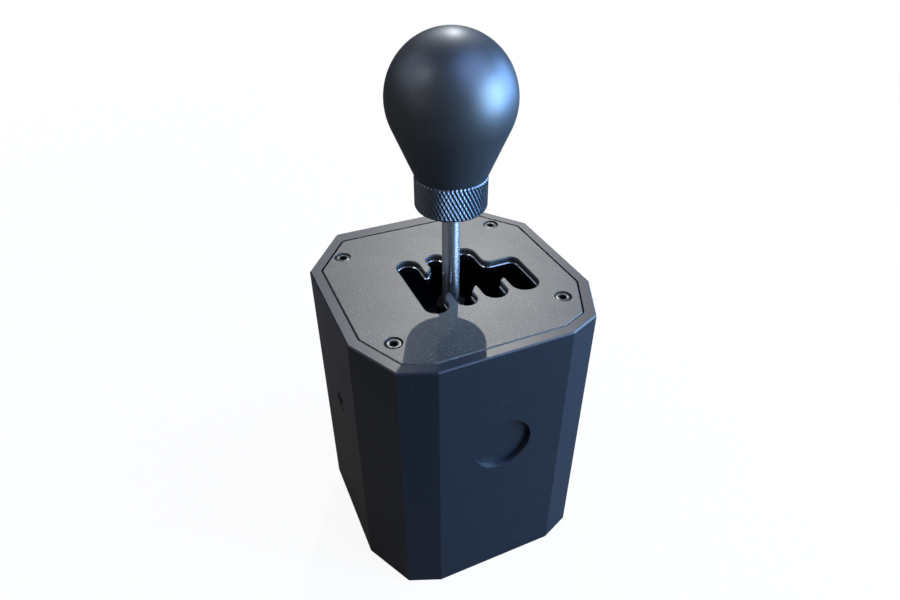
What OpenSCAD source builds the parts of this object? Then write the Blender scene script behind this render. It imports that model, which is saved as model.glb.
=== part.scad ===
// Desk-mounted gear shifter for driving simulators, with a seven-position gate.
// Millimetres, +Z up, front towards -Y, origin at the middle of the underside.

/* [Housing] */
// Width of the housing, side to side
body_w = 116; // [114:0.5:122]
// Depth of the housing, front to rear
body_d = 118.6; // [116:0.2:124]
// Height of the housing
body_h = 141.5; // [139:0.5:146]
// Width of the flat front face
front_face_w = 61.4; // [56:0.2:66]
// Width of the front facet beside the front face, side to side
front_facet_w = 15.2; // [12:0.2:18]
// Depth of the front facet beside the front face, front to rear
front_facet_d = 6.2; // [4:0.2:8]
// Distance from the front face back to the flat side faces
side_front = 30.5; // [26:0.5:34]
// Distance from the rear face forward to the flat side faces
side_rear = 28.5; // [24:0.5:32]
// Width of the flat rear face
rear_face_w = 73.4; // [68:0.2:78]
// Thickness of the housing wall
wall = 8; // [7:0.5:9]
// Diameter of the four full-height screw columns in the corners
column_d = 12; // [10.5:0.5:13]
// Chamfer along the outer edges of the housing
edge_chamfer = 0.6; // [0.4:0.1:1]

/* [Front recess] */
// Diameter of the plain round recess in the front face
recess_d = 28; // [20:1:34]
// Depth of the front recess
recess_depth = 2.5; // [1.5:0.5:4]
// Height of the front recess above the underside
recess_z = 87.5; // [70:0.5:100]

/* [Gate plate] */
// Thickness of the gate plate at its rim
plate_t = 6; // [5.5:0.25:7]
// Thickness of the gate plate at the shift gate
web_t = 3; // [2.75:0.25:3.75]
// Chamfer along the upper edge of the shift gate
gate_chamfer = 0.5; // [0.3:0.1:0.6]
// Bevelled ledge that the gate guide shows inside the shift gate
guide_ledge = 0.4; // [0.2:0.05:0.45]
// Width of the gate guide beyond the shift gate
guide_margin = 6; // [5.5:0.25:6.5]
// Clearance round the gate guide
guide_gap = 0.2; // [0.1:0.05:0.3]
// Width of the housing rim round the gate plate
plate_rim = 5; // [4.5:0.25:5.5]
// Width of the housing rim behind the gate plate
plate_rim_rear = 7.6; // [6.6:0.2:8]
// Gap line round the gate plate
plate_gap = 0.5; // [0.3:0.1:0.7]
// Radius of the gate plate's corners
plate_corner_r = 3; // [2:0.5:4]
// Chamfer along the gate plate's upper edge
plate_chamfer = 0.5; // [0.3:0.1:0.7]
// Distance of the corner screws in from the side faces
screw_in_side = 17.7; // [17:0.1:19]
// Distance of the rear corner screws in from the rear face
screw_in_rear = 22.7; // [22:0.1:24]
// Distance of the front corner screws in from the front face
screw_in_front = 24.3; // [23.5:0.1:26]
// Length of the corner screws' thread in the housing
thread_l = 10; // [8:0.5:12]

/* [Shift gate] */
// Distance of the lever's axis ahead of the middle of the housing
lever_ahead = 2; // [1:0.25:3]
// Distance of the 1-2 lane to the left of the lever's axis
lane_12 = 14.4; // [14.2:0.1:14.8]
// Distance of the 5-6 lane to the right of the lever's axis
lane_56 = 14.6; // [14.2:0.1:14.8]
// Distance of the reverse lane to the right of the lever's axis
lane_rev = 30.2; // [29.6:0.1:31]
// Width of the 1-2 slot
slot_w_12 = 11; // [10.8:0.1:11.4]
// Width of the 3-4 slot
slot_w_34 = 9.4; // [9.2:0.1:10]
// Width of the 5-6 slot
slot_w_56 = 11.4; // [11:0.1:11.8]
// Width of the reverse slot
slot_w_rev = 13.2; // [12.4:0.2:13.6]
// Reach of the slots towards the front
slot_front = 22; // [21.9:0.1:24]
// Reach of the slots towards the rear
slot_rear = 22.7; // [21.9:0.1:24]
// Reach of the reverse slot towards the rear
reverse_rear = 6.1; // [5.6:0.1:6.6]
// Distance of a gate tooth's long tip from the lever's axis
tooth_near = 7.3; // [6.6:0.1:8]
// Distance of a gate tooth's cut-back corner from the lever's axis
tooth_far = 13; // [11:0.5:15]
// Distance of the cut-back corner beside the reverse slot from the lever's axis
tooth_far_rev = 10.5; // [9:0.5:12]
// Radius of the gate teeth's tips
tooth_r = 0.9; // [0.5:0.1:1.1]

/* [Base plate] */
// Thickness of the base plate
base_t = 8; // [7:0.5:9]
// Width of the housing rim round the base plate
base_rim = 5; // [4.5:0.25:5.5]
// Gap line round the base plate
base_gap = 0.3; // [0.2:0.05:0.5]
// Spacing of the mounting holes, side to side
mount_x = 80; // [78:1:84]
// Spacing of the mounting holes, front to rear
mount_y = 40; // [32:1:44]
// Diameter of the mounting holes, drilled for an M6 thread
mount_d = 5; // [4:0.1:6]

/* [Pivot] */
// Height of the pivot above the underside
pivot_z = 86; // [85:0.25:87]
// Diameter of the fixed pivot shaft
shaft_d = 10; // [8:0.5:11]
// Height of the wall pads that the pivot shaft is clamped between
pad_h = 2; // [1:0.5:3]
// Diameter of the wall pads
pad_d = 24; // [20:1:28]
// Outer diameter of the shaft spacers
spacer_d = 14; // [13:0.5:16]
// Length of the cross block along the pivot shaft
cross_l = 28; // [27:0.5:29]
// Width and height of the cross block
cross_w = 26; // [25:0.5:27]
// Outer diameter of the cross bearings
cross_brg_d = 19; // [17:0.5:20]
// Width of the cross bearings
cross_brg_w = 5; // [4:0.5:6]
// Diameter of the trunnion pins
trunnion_d = 6; // [5:0.5:6.5]

/* [Lever] */
// Diameter of the bare steel rod
rod_d = 8; // [7:0.1:8.2]
// Height of the underside of the collar above the housing
collar_lift = 38; // [36:0.5:50]
// Diameter of the knurled collar
collar_d = 31.6; // [28:0.2:36]
// Height of the knurled collar
collar_h = 14.6; // [10:0.2:16]
// Chamfer on the collar's edges
collar_chamfer = 0.8; // [0.4:0.1:1.2]
// Diameter of the knob at its foot
knob_foot_d = 31; // [28:0.5:36]
// Diameter of the knob's ball
knob_d = 52.8; // [46:0.2:58]
// Height of the knob
knob_h = 58; // [50:0.5:64]
// Clear width between the fork arms
fork_gap = 28; // [27.6:0.2:29]
// Thickness of each fork arm
arm_t = 6; // [5.5:0.25:7]
// Width of the fork arms, side to side
arm_w = 24; // [22:0.5:26]
// Height of the bridges' inner faces above and below the pivot
bridge_in = 18; // [17.5:0.25:19]
// Thickness of the upper bridge
bridge_t = 8; // [6:0.5:9]
// Diameter of the boss that the rod screws into
boss_d = 18; // [16:0.5:20]
// Height of the boss above the upper bridge
boss_h = 10; // [8:0.5:12]
// Height of the lock nut
nut_h = 6.5; // [5:0.5:7]
// Width of the lock nut across its flats
nut_af = 13; // [12:0.5:15]

/* [Detent] */
// Radius from the pivot to the detent plunger's tip
tip_r = 50; // [49:0.25:50.5]
// Clearance between the plunger's tip and the dish of the detent plate
dish_gap = 0.3; // [0.2:0.05:0.5]
// Diameter of the plunger's nose
nose_d = 6; // [5:0.5:6.5]
// Diameter of the plunger's body
plunger_d = 8; // [7.5:0.5:9]
// Travel of the plunger into the lever
plunger_travel = 1.5; // [1:0.25:2]
// Diameter of the lever's tail round the plunger
tail_d = 16; // [14:0.5:17]
// Outer diameter of the ring magnet on the tail
magnet_d = 20; // [19:0.5:22]
// Height of the ring magnet
magnet_h = 4; // [3:0.5:5]
// Thickness of the plunger's retaining cap
cap_t = 2; // [1.5:0.25:2.5]
// Depth of the gear pockets in the dish
pocket_depth = 1; // [0.5:0.1:1.5]
// Thickness of the detent plate
detent_t = 16; // [14:0.5:17]
// Throw of the lever from neutral to a gear, in degrees
throw_deg = 17; // [15:0.5:17]
// Spacing of the four pillars, front to rear
pillar_y = 48; // [46:1:52]
// Distance of the left pillars from the lever's axis
pillar_left = 30; // [29:0.5:33]
// Distance of the right pillars from the lever's axis
pillar_right = 25; // [25:0.5:30]
// Diameter of the pillars
pillar_d = 8; // [7:0.5:9]

/* [Springs] */
// Wire of the centring springs
coil_wire = 1.4; // [1:0.1:1.6]
// Radius of the centring springs at the middle of the wire
coil_r = 4.6; // [4.4:0.1:5]
// Pitch of the centring springs
coil_pitch = 1.8; // [1.7:0.05:2]
// Wire of the detent spring
detent_wire = 0.9; // [0.6:0.1:1]
// Pitch of the detent spring
detent_pitch = 2.1; // [1.8:0.1:3]

/* [Electronics] */
// Thickness of the circuit boards
board_t = 1.6; // [1.2:0.1:2]
// Width of the main circuit board
board_w = 60; // [56:1:66]
// Clearance round the main circuit board
board_room = 0.7; // [0.5:0.1:1]
// Height of the standoffs under the main circuit board
standoff_h = 6; // [5:0.5:8]
// Width of the USB socket
usb_w = 9; // [8.9:0.1:9.4]
// Height of the USB socket
usb_h = 3.3; // [3:0.1:3.6]
// Length of the USB socket
usb_l = 8; // [7.5:0.25:9]
// Depth of the recess round the USB socket in the rear face
usb_recess = 4; // [3:0.25:5]

/* [Hidden] */

// Clearances: between fixed pieces, between moving pieces, and past each face that a cut goes through
fit = 0.02;
run = 0.03;
cut = 1;
// Least visible gap between faces that turn past each other
side_gap = 0.2;
$fn = 64;

// Socket-head screws: shank, head diameter, head height, width of the key across its flats
M3 = [3, 5.5, 3, 2.5];
M4 = [4, 7, 4, 3];
M5 = [5, 8.5, 5, 4];
board_screw = [2.5, 4.5, 2, 2];
// Room round a screw's head, and round its shank in a plate, across the diameter
head_room = 1;
shank_room = 0.5;
// Room beyond a screw's end in its tapped hole
stud_gap = 0.5;

// Black parts, bare steel and the rest, as the photograph shows them
black = [0.07, 0.08, 0.10];
gate_grey = [0.16, 0.17, 0.18];
knob_black = [0.09, 0.10, 0.12];
steel = [0.66, 0.68, 0.70];
dark_steel = [0.20, 0.21, 0.23];
aluminium = [0.78, 0.79, 0.81];
brass = [0.78, 0.64, 0.32];
board_green = [0.05, 0.26, 0.14];
chip_black = [0.05, 0.05, 0.06];
black_polymer = [0.06, 0.06, 0.07];

pivot = [0, -lever_ahead, pivot_z];
cavity_w = body_w - 2 * wall;
shaft_l = cavity_w - 2 * pad_h;
cross_gap = (fork_gap - cross_w) / 2;
arm_out = fork_gap / 2 + arm_t;
boss_top = bridge_in + bridge_t + boss_h;
collar_z = body_h + collar_lift;
knob_z = collar_z + collar_h;
fork_brg_d = 13;
fork_brg_w = 5;
arm_lip = arm_t - fork_brg_w;
lower_bridge_t = 6;

// Screws at the housing's four corners
corner_screws = [for (side = [-1, 1], y = [screw_in_front - body_d / 2, body_d / 2 - screw_in_rear])
    [side * (body_w / 2 - screw_in_side), y]];

// Plane geometry
function unit(v) = v / norm(v);
function left_of(v) = [-v[1], v[0]];
function wrap(list, i) = list[(i + len(list)) % len(list)];
function xy(p) = [p[0], p[1]];

// Corner p between the edges from a and to b, moved in by one distance for each edge
function moved_corner(a, p, b, in_a, in_b) =
    let (u = unit(p - a), w = unit(b - p), q = p + left_of(u) * in_a, s = p + left_of(w) * in_b)
    q + u * cross(s - q, w) / cross(u, w);

// Outline with each edge moved in by its own distance
function inset(points, distances) =
    [for (i = [0 : len(points) - 1])
        moved_corner(wrap(points, i - 1), points[i], wrap(points, i + 1),
                     wrap(distances, i - 1), distances[i])];

// Arc that rounds the corner p between a and b
function corner_arc(a, p, b, r, steps) =
    let (u = unit(a - p), w = unit(b - p), half = acos(u * w) / 2,
         centre = p + unit(u + w) * r / sin(half),
         s = p + u * r / tan(half) - centre, e = p + w * r / tan(half) - centre,
         turn = 180 - 2 * half)
    [for (i = [0 : steps])
        centre + (s * sin(turn * (1 - i / steps)) + e * sin(turn * i / steps)) / sin(turn)];

// Outline of [x, y, radius] corners, rounded
function rounded(corners, steps = 6) =
    [for (i = [0 : len(corners) - 1])
        each corner_arc(xy(wrap(corners, i - 1)), xy(corners[i]), xy(wrap(corners, i + 1)),
                        corners[i][2], steps)];

// Same radius on every corner
function with_radius(points, r) = [for (p = points) [p[0], p[1], r]];

// Housing outline, from the front face's left end round to the left front facet
right_side = [
    [front_face_w / 2, -body_d / 2],
    [front_face_w / 2 + front_facet_w, -body_d / 2 + front_facet_d],
    [body_w / 2, -body_d / 2 + side_front],
    [body_w / 2, body_d / 2 - side_rear],
    [rear_face_w / 2, body_d / 2]
];
left_side = [for (i = [len(right_side) - 1 : -1 : 0]) [-right_side[i][0], right_side[i][1]]];
body_outline = concat(right_side, left_side);
rear_edge = 4;

// Insets for all edges, with another one for the rear edge
function rims(side, rear) = [for (i = [0 : len(body_outline) - 1]) i == rear_edge ? rear : side];

pocket_outline = inset(body_outline, rims(plate_rim, plate_rim_rear));
base_outline = inset(body_outline, rims(base_rim, base_rim));
cavity_outline = inset(body_outline, rims(wall, wall + plate_rim_rear - plate_rim));

// Shift gate, from the lever's axis
function slot_r(width) = width / 2 - 0.1;
x12 = [-lane_12 - slot_w_12 / 2, -lane_12 + slot_w_12 / 2];
x34 = [-slot_w_34 / 2, slot_w_34 / 2];
x56 = [lane_56 - slot_w_56 / 2, lane_56 + slot_w_56 / 2];
xrev = [lane_rev - slot_w_rev / 2, lane_rev + slot_w_rev / 2];
reverse_turn_r = 4;
gate_outline = [
    [x12[0], -slot_front, slot_r(slot_w_12)], [x12[1], -slot_front, slot_r(slot_w_12)],
    [x12[1], -tooth_far, tooth_r], [x34[0], -tooth_near, tooth_r],
    [x34[0], -slot_front, slot_r(slot_w_34)], [x34[1], -slot_front, slot_r(slot_w_34)],
    [x34[1], -tooth_far, tooth_r], [x56[0], -tooth_near, tooth_r],
    [x56[0], -slot_front, slot_r(slot_w_56)], [x56[1], -slot_front, slot_r(slot_w_56)],
    [x56[1], -tooth_far_rev, tooth_r], [xrev[0], -tooth_near, tooth_r],
    [xrev[0], -slot_front, slot_r(slot_w_rev)], [xrev[1], -slot_front, slot_r(slot_w_rev)],
    [xrev[1], reverse_rear, reverse_turn_r], [x56[1], reverse_rear, reverse_turn_r],
    [x56[1], slot_rear, slot_r(slot_w_56)], [x56[0], slot_rear, slot_r(slot_w_56)],
    [x56[0], tooth_far, tooth_r], [x34[1], tooth_near, tooth_r],
    [x34[1], slot_rear, slot_r(slot_w_34)], [x34[0], slot_rear, slot_r(slot_w_34)],
    [x34[0], tooth_far, tooth_r], [x12[1], tooth_near, tooth_r],
    [x12[1], slot_rear, slot_r(slot_w_12)], [x12[0], slot_rear, slot_r(slot_w_12)]
];

// Tilt of the lever in each lane, from the lanes' places in the middle of the gate's web
gate_lift = body_h - web_t / 2 - pivot_z;
tilt_12 = -atan(lane_12 / gate_lift);
tilt_56 = atan(lane_56 / gate_lift);
tilt_rev = atan(lane_rev / gate_lift);
// Throw and tilt of the seven gears
gear_tilts = [
    [-throw_deg, tilt_12], [throw_deg, tilt_12], [-throw_deg, 0], [throw_deg, 0],
    [-throw_deg, tilt_56], [throw_deg, tilt_56], [throw_deg, tilt_rev]
];

// Moves its children to the pivot
module at_pivot() {
    translate(pivot) children();
}

// Lays a cylinder that stands on z = 0 along +X or +Y
module along_x() {
    rotate([0, 90, 0]) children();
}

module along_y() {
    rotate([-90, 0, 0]) children();
}

// Straight prism through rings of [height, inset], from its lower end to its upper end
module ringed_prism(points, rings) {
    n = len(points);
    last = len(rings) - 1;
    corners = [for (ring = rings, p = inset(points, [for (q = points) ring[1]])) [p[0], p[1], ring[0]]];
    ends = [[for (i = [n - 1 : -1 : 0]) i], [for (i = [0 : n - 1]) last * n + i]];
    walls = [for (r = [0 : last - 1], i = [0 : n - 1])
        let (a = r * n + i, b = r * n + (i + 1) % n) [a, b, b + n, a + n]];
    // Faces are listed clockwise as seen from outside
    polyhedron(corners, [for (face = concat(ends, walls)) [for (i = [len(face) - 1 : -1 : 0]) face[i]]]);
}

// Socket-head screw, its head's top at z = 0 and its shank pointing down
module screw(size, length) {
    key_depth = size[2] * 0.55;
    color(dark_steel) difference() {
        union() {
            translate([0, 0, -size[2]]) cylinder(d = size[1], h = size[2]);
            translate([0, 0, -size[2] - length]) cylinder(d = size[0], h = length + size[2] / 2);
        }
        translate([0, 0, -key_depth]) cylinder(d = size[3] / cos(30), h = key_depth + cut, $fn = 6);
    }
}

// Stepped hole for a socket-head screw whose head's top lies at z = 0
module screw_hole(size, depth, sink = 0) {
    translate([0, 0, -size[2] - sink]) cylinder(d = size[1] + head_room, h = size[2] + sink + cut);
    translate([0, 0, -depth]) cylinder(d = size[0] + shank_room, h = depth);
}

// Tapped hole that goes down from z = 0
module tapped_hole(d, depth) {
    translate([0, 0, -depth]) cylinder(d = d + 2 * fit, h = depth + cut);
}

// Plain ring bearing with a groove between its two races, standing on z = 0
module bearing(inner, outer, width) {
    race = (outer - inner) / 5;
    groove = 0.4;
    color(steel) difference() {
        cylinder(d = outer, h = width);
        translate([0, 0, -cut]) cylinder(d = inner, h = width + 2 * cut);
        for (z = [-cut, width - groove]) translate([0, 0, z]) difference() {
            cylinder(d = outer - 1.4 * race, h = groove + cut);
            translate([0, 0, -cut]) cylinder(d = inner + 1.4 * race, h = groove + 3 * cut);
        }
    }
}

// Sweeps a round wire along points in space
function ring_at(p, along, side, r, sides) =
    let (n = unit(cross(along, side)), b = unit(cross(n, along)))
    [for (k = [0 : sides - 1]) p + r * (b * cos(360 * k / sides) + n * sin(360 * k / sides))];

module wire(points, d, side, sides = 6) {
    last = len(points) - 1;
    rings = [for (i = [0 : last])
        each ring_at(points[i], points[min(i + 1, last)] - points[max(i - 1, 0)], side, d / 2, sides)];
    ends = [[for (k = [0 : sides - 1]) k], [for (k = [sides - 1 : -1 : 0]) last * sides + k]];
    walls = [for (i = [0 : last - 1], k = [0 : sides - 1])
        let (a = i * sides + k, b = i * sides + (k + 1) % sides)
        each [[a, a + sides, b + sides], [a, b + sides, b]]];
    polyhedron(rings, concat(ends, walls), convexity = 10);
}

// HOUSING

screw_depth = 1.6 * thread_l;
web_w = 0.8 * column_d;
shaft_screw_l = 15;
shaft_head_sink = 0.5;
usb_z = base_t + standoff_h + board_t + usb_h / 2;
usb_room = 0.5;
usb_face_y = body_d / 2 - usb_recess;
plug_w = 13;
plug_h = 8;

module housing_shell() {
    color(black) difference() {
        ringed_prism(body_outline, [
            [0, edge_chamfer], [edge_chamfer, 0], [body_h - edge_chamfer, 0], [body_h, edge_chamfer]
        ]);
        // Seats of the gate plate and of the base plate
        translate([0, 0, body_h - plate_t]) linear_extrude(plate_t + cut)
            polygon(rounded(with_radius(pocket_outline, plate_corner_r)));
        translate([0, 0, -cut]) linear_extrude(base_t + cut)
            polygon(rounded(with_radius(base_outline, plate_corner_r)));
        // Cavity, with the screw columns and the shaft's pads left standing
        difference() {
            translate([0, 0, base_t - cut]) linear_extrude(body_h - plate_t - base_t + 2 * cut)
                polygon(rounded(with_radius(cavity_outline, plate_corner_r)));
            for (p = corner_screws) translate([p[0], p[1], 0]) {
                cylinder(d = column_d, h = body_h);
                // Web from the column out to the wall
                rotate(atan2(p[1], p[0])) translate([0, -web_w / 2, 0])
                    cube([wall + column_d, web_w, body_h]);
            }
            at_pivot() for (side = [-1, 1])
                translate([side * (cavity_w / 2 - pad_h + wall / 2), 0, 0]) rotate([0, 90, 0])
                    cylinder(d = pad_d, h = wall, center = true);
        }
        // Tapped holes in both ends of the columns
        for (p = corner_screws) {
            translate([p[0], p[1], body_h - plate_t]) tapped_hole(M4[0], screw_depth);
            translate([p[0], p[1], base_t]) rotate([180, 0, 0]) tapped_hole(M4[0], screw_depth);
        }
        // Holes for the screws that clamp the pivot shaft
        at_pivot() for (side = [0, 180]) rotate([0, 0, side])
            translate([body_w / 2 - shaft_head_sink, 0, 0]) along_x()
                screw_hole(M5, body_w / 2 - shaft_l / 2 + cut);
        // Plain round recess in the front face
        translate([0, -body_d / 2 - cut, recess_z]) along_y()
            cylinder(d = recess_d, h = recess_depth + cut);
        // Opening for the USB plug, wide outside and close round the socket inside
        translate([-plug_w / 2, usb_face_y, usb_z - plug_h / 2]) cube([plug_w, usb_recess + cut, plug_h]);
        translate([-usb_w / 2 - usb_room, body_d / 2 - 2 * wall - plate_rim_rear, usb_z - usb_h / 2 - usb_room])
            cube([usb_w + 2 * usb_room, 2 * wall + plate_rim_rear, usb_h + 2 * usb_room]);
    }
}

head_depth = 0.4;
plate_screw_l = plate_t - M4[2] - head_depth + thread_l;

// Pocket under the gate plate for the gate guide, its corners cut off and clear of the corner screws
guide_low = [x12[0] - guide_margin, -slot_front - guide_margin];
guide_high = [xrev[1] + guide_margin, slot_rear + guide_margin];
guide_corner_cut = 3;
guide_screw_room = 1;
screw_reach = sqrt(2) * ((M4[1] + head_room) / 2 + guide_screw_room);
function corner_cut(corner, screw, way) =
    max(guide_corner_cut, way * (corner - [0, lever_ahead] - screw) + screw_reach);
cut_front_left = corner_cut(guide_low, corner_screws[0], [-1, -1]);
cut_rear_left = corner_cut([guide_low[0], guide_high[1]], corner_screws[1], [-1, 1]);
cut_front_right = corner_cut([guide_high[0], guide_low[1]], corner_screws[2], [1, -1]);
cut_rear_right = corner_cut(guide_high, corner_screws[3], [1, 1]);
guide_pocket = [
    guide_low + [0, cut_front_left], guide_low + [cut_front_left, 0],
    [guide_high[0] - cut_front_right, guide_low[1]], [guide_high[0], guide_low[1] + cut_front_right],
    guide_high - [0, cut_rear_right], guide_high - [cut_rear_right, 0],
    [guide_low[0] + cut_rear_left, guide_high[1]], [guide_low[0], guide_high[1] - cut_rear_left]
];
guide_screws = [for (x = [x12[0] - guide_margin / 2, xrev[1] + guide_margin / 2], side = [-1, 1])
    [x, side * (slot_front - guide_margin) - lever_ahead]];
// Metal left over the guide's tapped holes
guide_skin = 0.7;
guide_thread_l = web_t - guide_skin - stud_gap;
rise = 0.1;

module gate_plate() {
    outline = inset(pocket_outline, [for (p = pocket_outline) plate_gap]);
    color(gate_grey) translate([0, 0, body_h - plate_t]) difference() {
        ringed_prism(rounded(with_radius(outline, plate_corner_r - plate_gap), 4),
                     [[0, 0], [plate_t - plate_chamfer, 0], [plate_t, plate_chamfer]]);
        translate([0, -lever_ahead, 0]) {
            translate([0, 0, -cut]) linear_extrude(plate_t + 2 * cut) polygon(rounded(gate_outline));
            ringed_prism(rounded(gate_outline),
                         [[plate_t - gate_chamfer, 0], [plate_t + rise, -gate_chamfer - rise]]);
            translate([0, 0, -cut]) linear_extrude(plate_t - web_t + cut)
                polygon(rounded(with_radius(guide_pocket, plate_corner_r), 4));
        }
        for (p = corner_screws) translate([p[0], p[1], plate_t - head_depth]) screw_hole(M4, plate_t + cut, 0);
        for (p = guide_screws) translate([p[0], p[1], plate_t - web_t]) rotate([180, 0, 0])
            tapped_hole(board_screw[0], guide_thread_l + stud_gap);
    }
}

// Hardened guide let into the underside of the gate plate, narrower than its slots and bevelled to them
module gate_guide() {
    edges = [for (p = guide_pocket) guide_gap];
    slots = rounded(gate_outline);
    guide_t = plate_t - web_t;
    color(dark_steel) translate([0, 0, body_h - plate_t]) difference() {
        translate([0, -lever_ahead, 0]) difference() {
            linear_extrude(guide_t)
                polygon(rounded(with_radius(inset(guide_pocket, edges), plate_corner_r - guide_gap), 4));
            ringed_prism(slots, [[-cut, guide_ledge], [guide_t - guide_ledge, guide_ledge], [guide_t + rise, -rise]]);
        }
        for (p = guide_screws) translate([p[0], p[1], -cut])
            cylinder(d = board_screw[0] + shank_room, h = plate_t + 2 * cut);
    }
}

module gate_guide_screws() {
    for (p = guide_screws) translate([p[0], p[1], body_h - plate_t - board_screw[2]])
        rotate([180, 0, 0]) screw(board_screw, plate_t - web_t + guide_thread_l);
}

module gate_plate_screws() {
    for (p = corner_screws) translate([p[0], p[1], body_h - head_depth]) screw(M4, plate_screw_l);
}

// BASE

base_head_sink = 1;
base_screw_l = base_t - M4[2] - base_head_sink + thread_l;
mount_holes = [for (x = [-mount_x / 2, mount_x / 2], y = [-mount_y / 2, mount_y / 2]) [x, y]];
pillars = [for (x = [-pillar_left, pillar_right], y = [-pillar_y / 2, pillar_y / 2]) [x, y - lever_ahead]];
standoff_in = 4;
standoff_af = 5.5;
board_rear_y = cavity_outline[rear_edge][1] - board_room;
board_front_y = -lever_ahead + pillar_y / 2 + pillar_d / 2 + board_room;
board_d = board_rear_y - board_front_y;
standoffs = [for (x = [-1, 1], y = [board_rear_y - standoff_in, board_front_y + standoff_in])
    [x * (board_w / 2 - standoff_in), y]];

module base_plate() {
    outline = inset(base_outline, [for (p = base_outline) base_gap]);
    color(black) difference() {
        linear_extrude(base_t) polygon(rounded(with_radius(outline, plate_corner_r - base_gap), 4));
        for (p = mount_holes) translate([p[0], p[1], -cut]) cylinder(d = mount_d, h = base_t + 2 * cut);
        for (p = corner_screws) translate([p[0], p[1], base_head_sink]) rotate([180, 0, 0])
            screw_hole(M4, base_t);
        for (p = pillars) translate([p[0], p[1], base_t]) tapped_hole(pillar_stud_d, pillar_stud_l);
        for (p = standoffs) translate([p[0], p[1], base_t]) tapped_hole(M3[0], pillar_stud_l);
    }
}

module base_plate_screws() {
    for (p = corner_screws) translate([p[0], p[1], base_head_sink]) rotate([180, 0, 0]) screw(M4, base_screw_l);
}

// PIVOT SHAFT

module pivot_shaft() {
    color(steel) at_pivot() difference() {
        translate([-shaft_l / 2, 0, 0]) along_x() cylinder(d = shaft_d, h = shaft_l);
        for (side = [0, 180]) rotate([0, 0, side]) translate([shaft_l / 2, 0, 0]) along_x()
            tapped_hole(M5[0], shaft_screw_l);
    }
}

module shaft_screws() {
    at_pivot() for (side = [0, 180]) rotate([0, 0, side])
        translate([body_w / 2 - shaft_head_sink, 0, 0]) along_x() screw(M5, shaft_screw_l);
}

module shaft_spacers() {
    start = cross_l / 2 + side_gap;
    color(aluminium) at_pivot() for (side = [0, 180]) rotate([0, 0, side])
        translate([start, 0, 0]) along_x() difference() {
            cylinder(d = spacer_d, h = shaft_l / 2 - start);
            translate([0, 0, -cut]) cylinder(d = shaft_d + 2 * fit, h = shaft_l / 2 + 2 * cut);
        }
}

// DETENT PLATE AND ITS PILLARS

dish_r = tip_r + dish_gap;
detent_low = pivot_z - dish_r - 5.7;
detent_margin = 5;
spacer_h = 2;
sensor_z = detent_low - spacer_h - board_t;
pillar_stud_d = 5;
pillar_stud_l = 5;
detent_screw_l = 30;

module detent_plate() {
    low = [-pillar_left - detent_margin, -pillar_y / 2 - detent_margin, 0];
    size = [pillar_left + pillar_right + 2 * detent_margin, pillar_y + 2 * detent_margin, detent_t];
    pocket_r = nose_d / 2 + 1;
    color(black_polymer) difference() {
        translate([0, -lever_ahead, detent_low]) translate(low) cube(size);
        // Dish that the plunger's tip runs over, with a pocket for each gear
        at_pivot() {
            sphere(r = dish_r, $fn = 96);
            for (g = gear_tilts) rotate([g[0], 0, 0]) rotate([0, g[1], 0])
                translate([0, 0, -dish_r + pocket_r - pocket_depth]) sphere(r = pocket_r, $fn = 32);
        }
        for (p = pillars) translate([p[0], p[1], detent_low + detent_t]) screw_hole(M4, detent_t + cut);
    }
}

module detent_pillars() {
    color(aluminium) for (p = pillars) translate([p[0], p[1], 0]) difference() {
        union() {
            translate([0, 0, base_t]) cylinder(d = pillar_d, h = sensor_z - base_t);
            translate([0, 0, base_t - pillar_stud_l + stud_gap])
                cylinder(d = pillar_stud_d, h = pillar_stud_l);
        }
        translate([0, 0, sensor_z])
            tapped_hole(M4[0], detent_screw_l - detent_t + M4[2] - spacer_h - board_t);
    }
}

module detent_plate_screws() {
    for (p = pillars) translate([p[0], p[1], detent_low + detent_t])
        screw(M4, detent_screw_l - 2);
}

// BOARDS

module sensor_board() {
    color(board_green) difference() {
        translate([-pillar_left - detent_margin, -lever_ahead - pillar_y / 2 - detent_margin, sensor_z])
            cube([pillar_left + pillar_right + 2 * detent_margin, pillar_y + 2 * detent_margin, board_t]);
        for (p = pillars) translate([p[0], p[1], sensor_z - cut])
            cylinder(d = M4[0] + shank_room, h = board_t + 2 * cut);
    }
}

module sensor_board_spacers() {
    color(steel) for (p = pillars) translate([p[0], p[1], sensor_z + board_t]) difference() {
        cylinder(d = pillar_d, h = spacer_h);
        translate([0, 0, -cut]) cylinder(d = M4[0] + shank_room, h = spacer_h + 2 * cut);
    }
}

module hall_sensors() {
    size = [4, 3, 1.2];
    // One sensor below each gear's pocket, where the tilted lever points
    color(chip_black) for (g = gear_tilts) {
        reach = -(pivot_z - sensor_z - board_t);
        at_x = reach * tan(g[1]) / cos(g[0]);
        at_y = -reach * tan(g[0]);
        translate([max(at_x, -pillar_left - detent_margin + size[0]) - size[0] / 2,
                   -lever_ahead + at_y - size[1] / 2, sensor_z + board_t]) cube(size);
    }
}

module circuit_board() {
    color(board_green) difference() {
        translate([-board_w / 2, board_front_y, base_t + standoff_h]) cube([board_w, board_d, board_t]);
        for (p = standoffs) translate([p[0], p[1], base_t + standoff_h - cut])
            cylinder(d = M3[0] + shank_room, h = board_t + 2 * cut);
    }
}

module board_standoffs() {
    color(brass) for (p = standoffs) translate([p[0], p[1], 0]) difference() {
        union() {
            translate([0, 0, base_t]) cylinder(d = standoff_af / cos(30), h = standoff_h, $fn = 6);
            translate([0, 0, base_t - pillar_stud_l + stud_gap]) cylinder(d = M3[0], h = pillar_stud_l);
        }
        translate([0, 0, base_t + standoff_h]) tapped_hole(board_screw[0], standoff_h);
    }
}

module board_screws() {
    for (p = standoffs) translate([p[0], p[1], base_t + standoff_h + board_t + board_screw[2]])
        screw(board_screw, board_t + standoff_h * 2 / 3);
}

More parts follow.
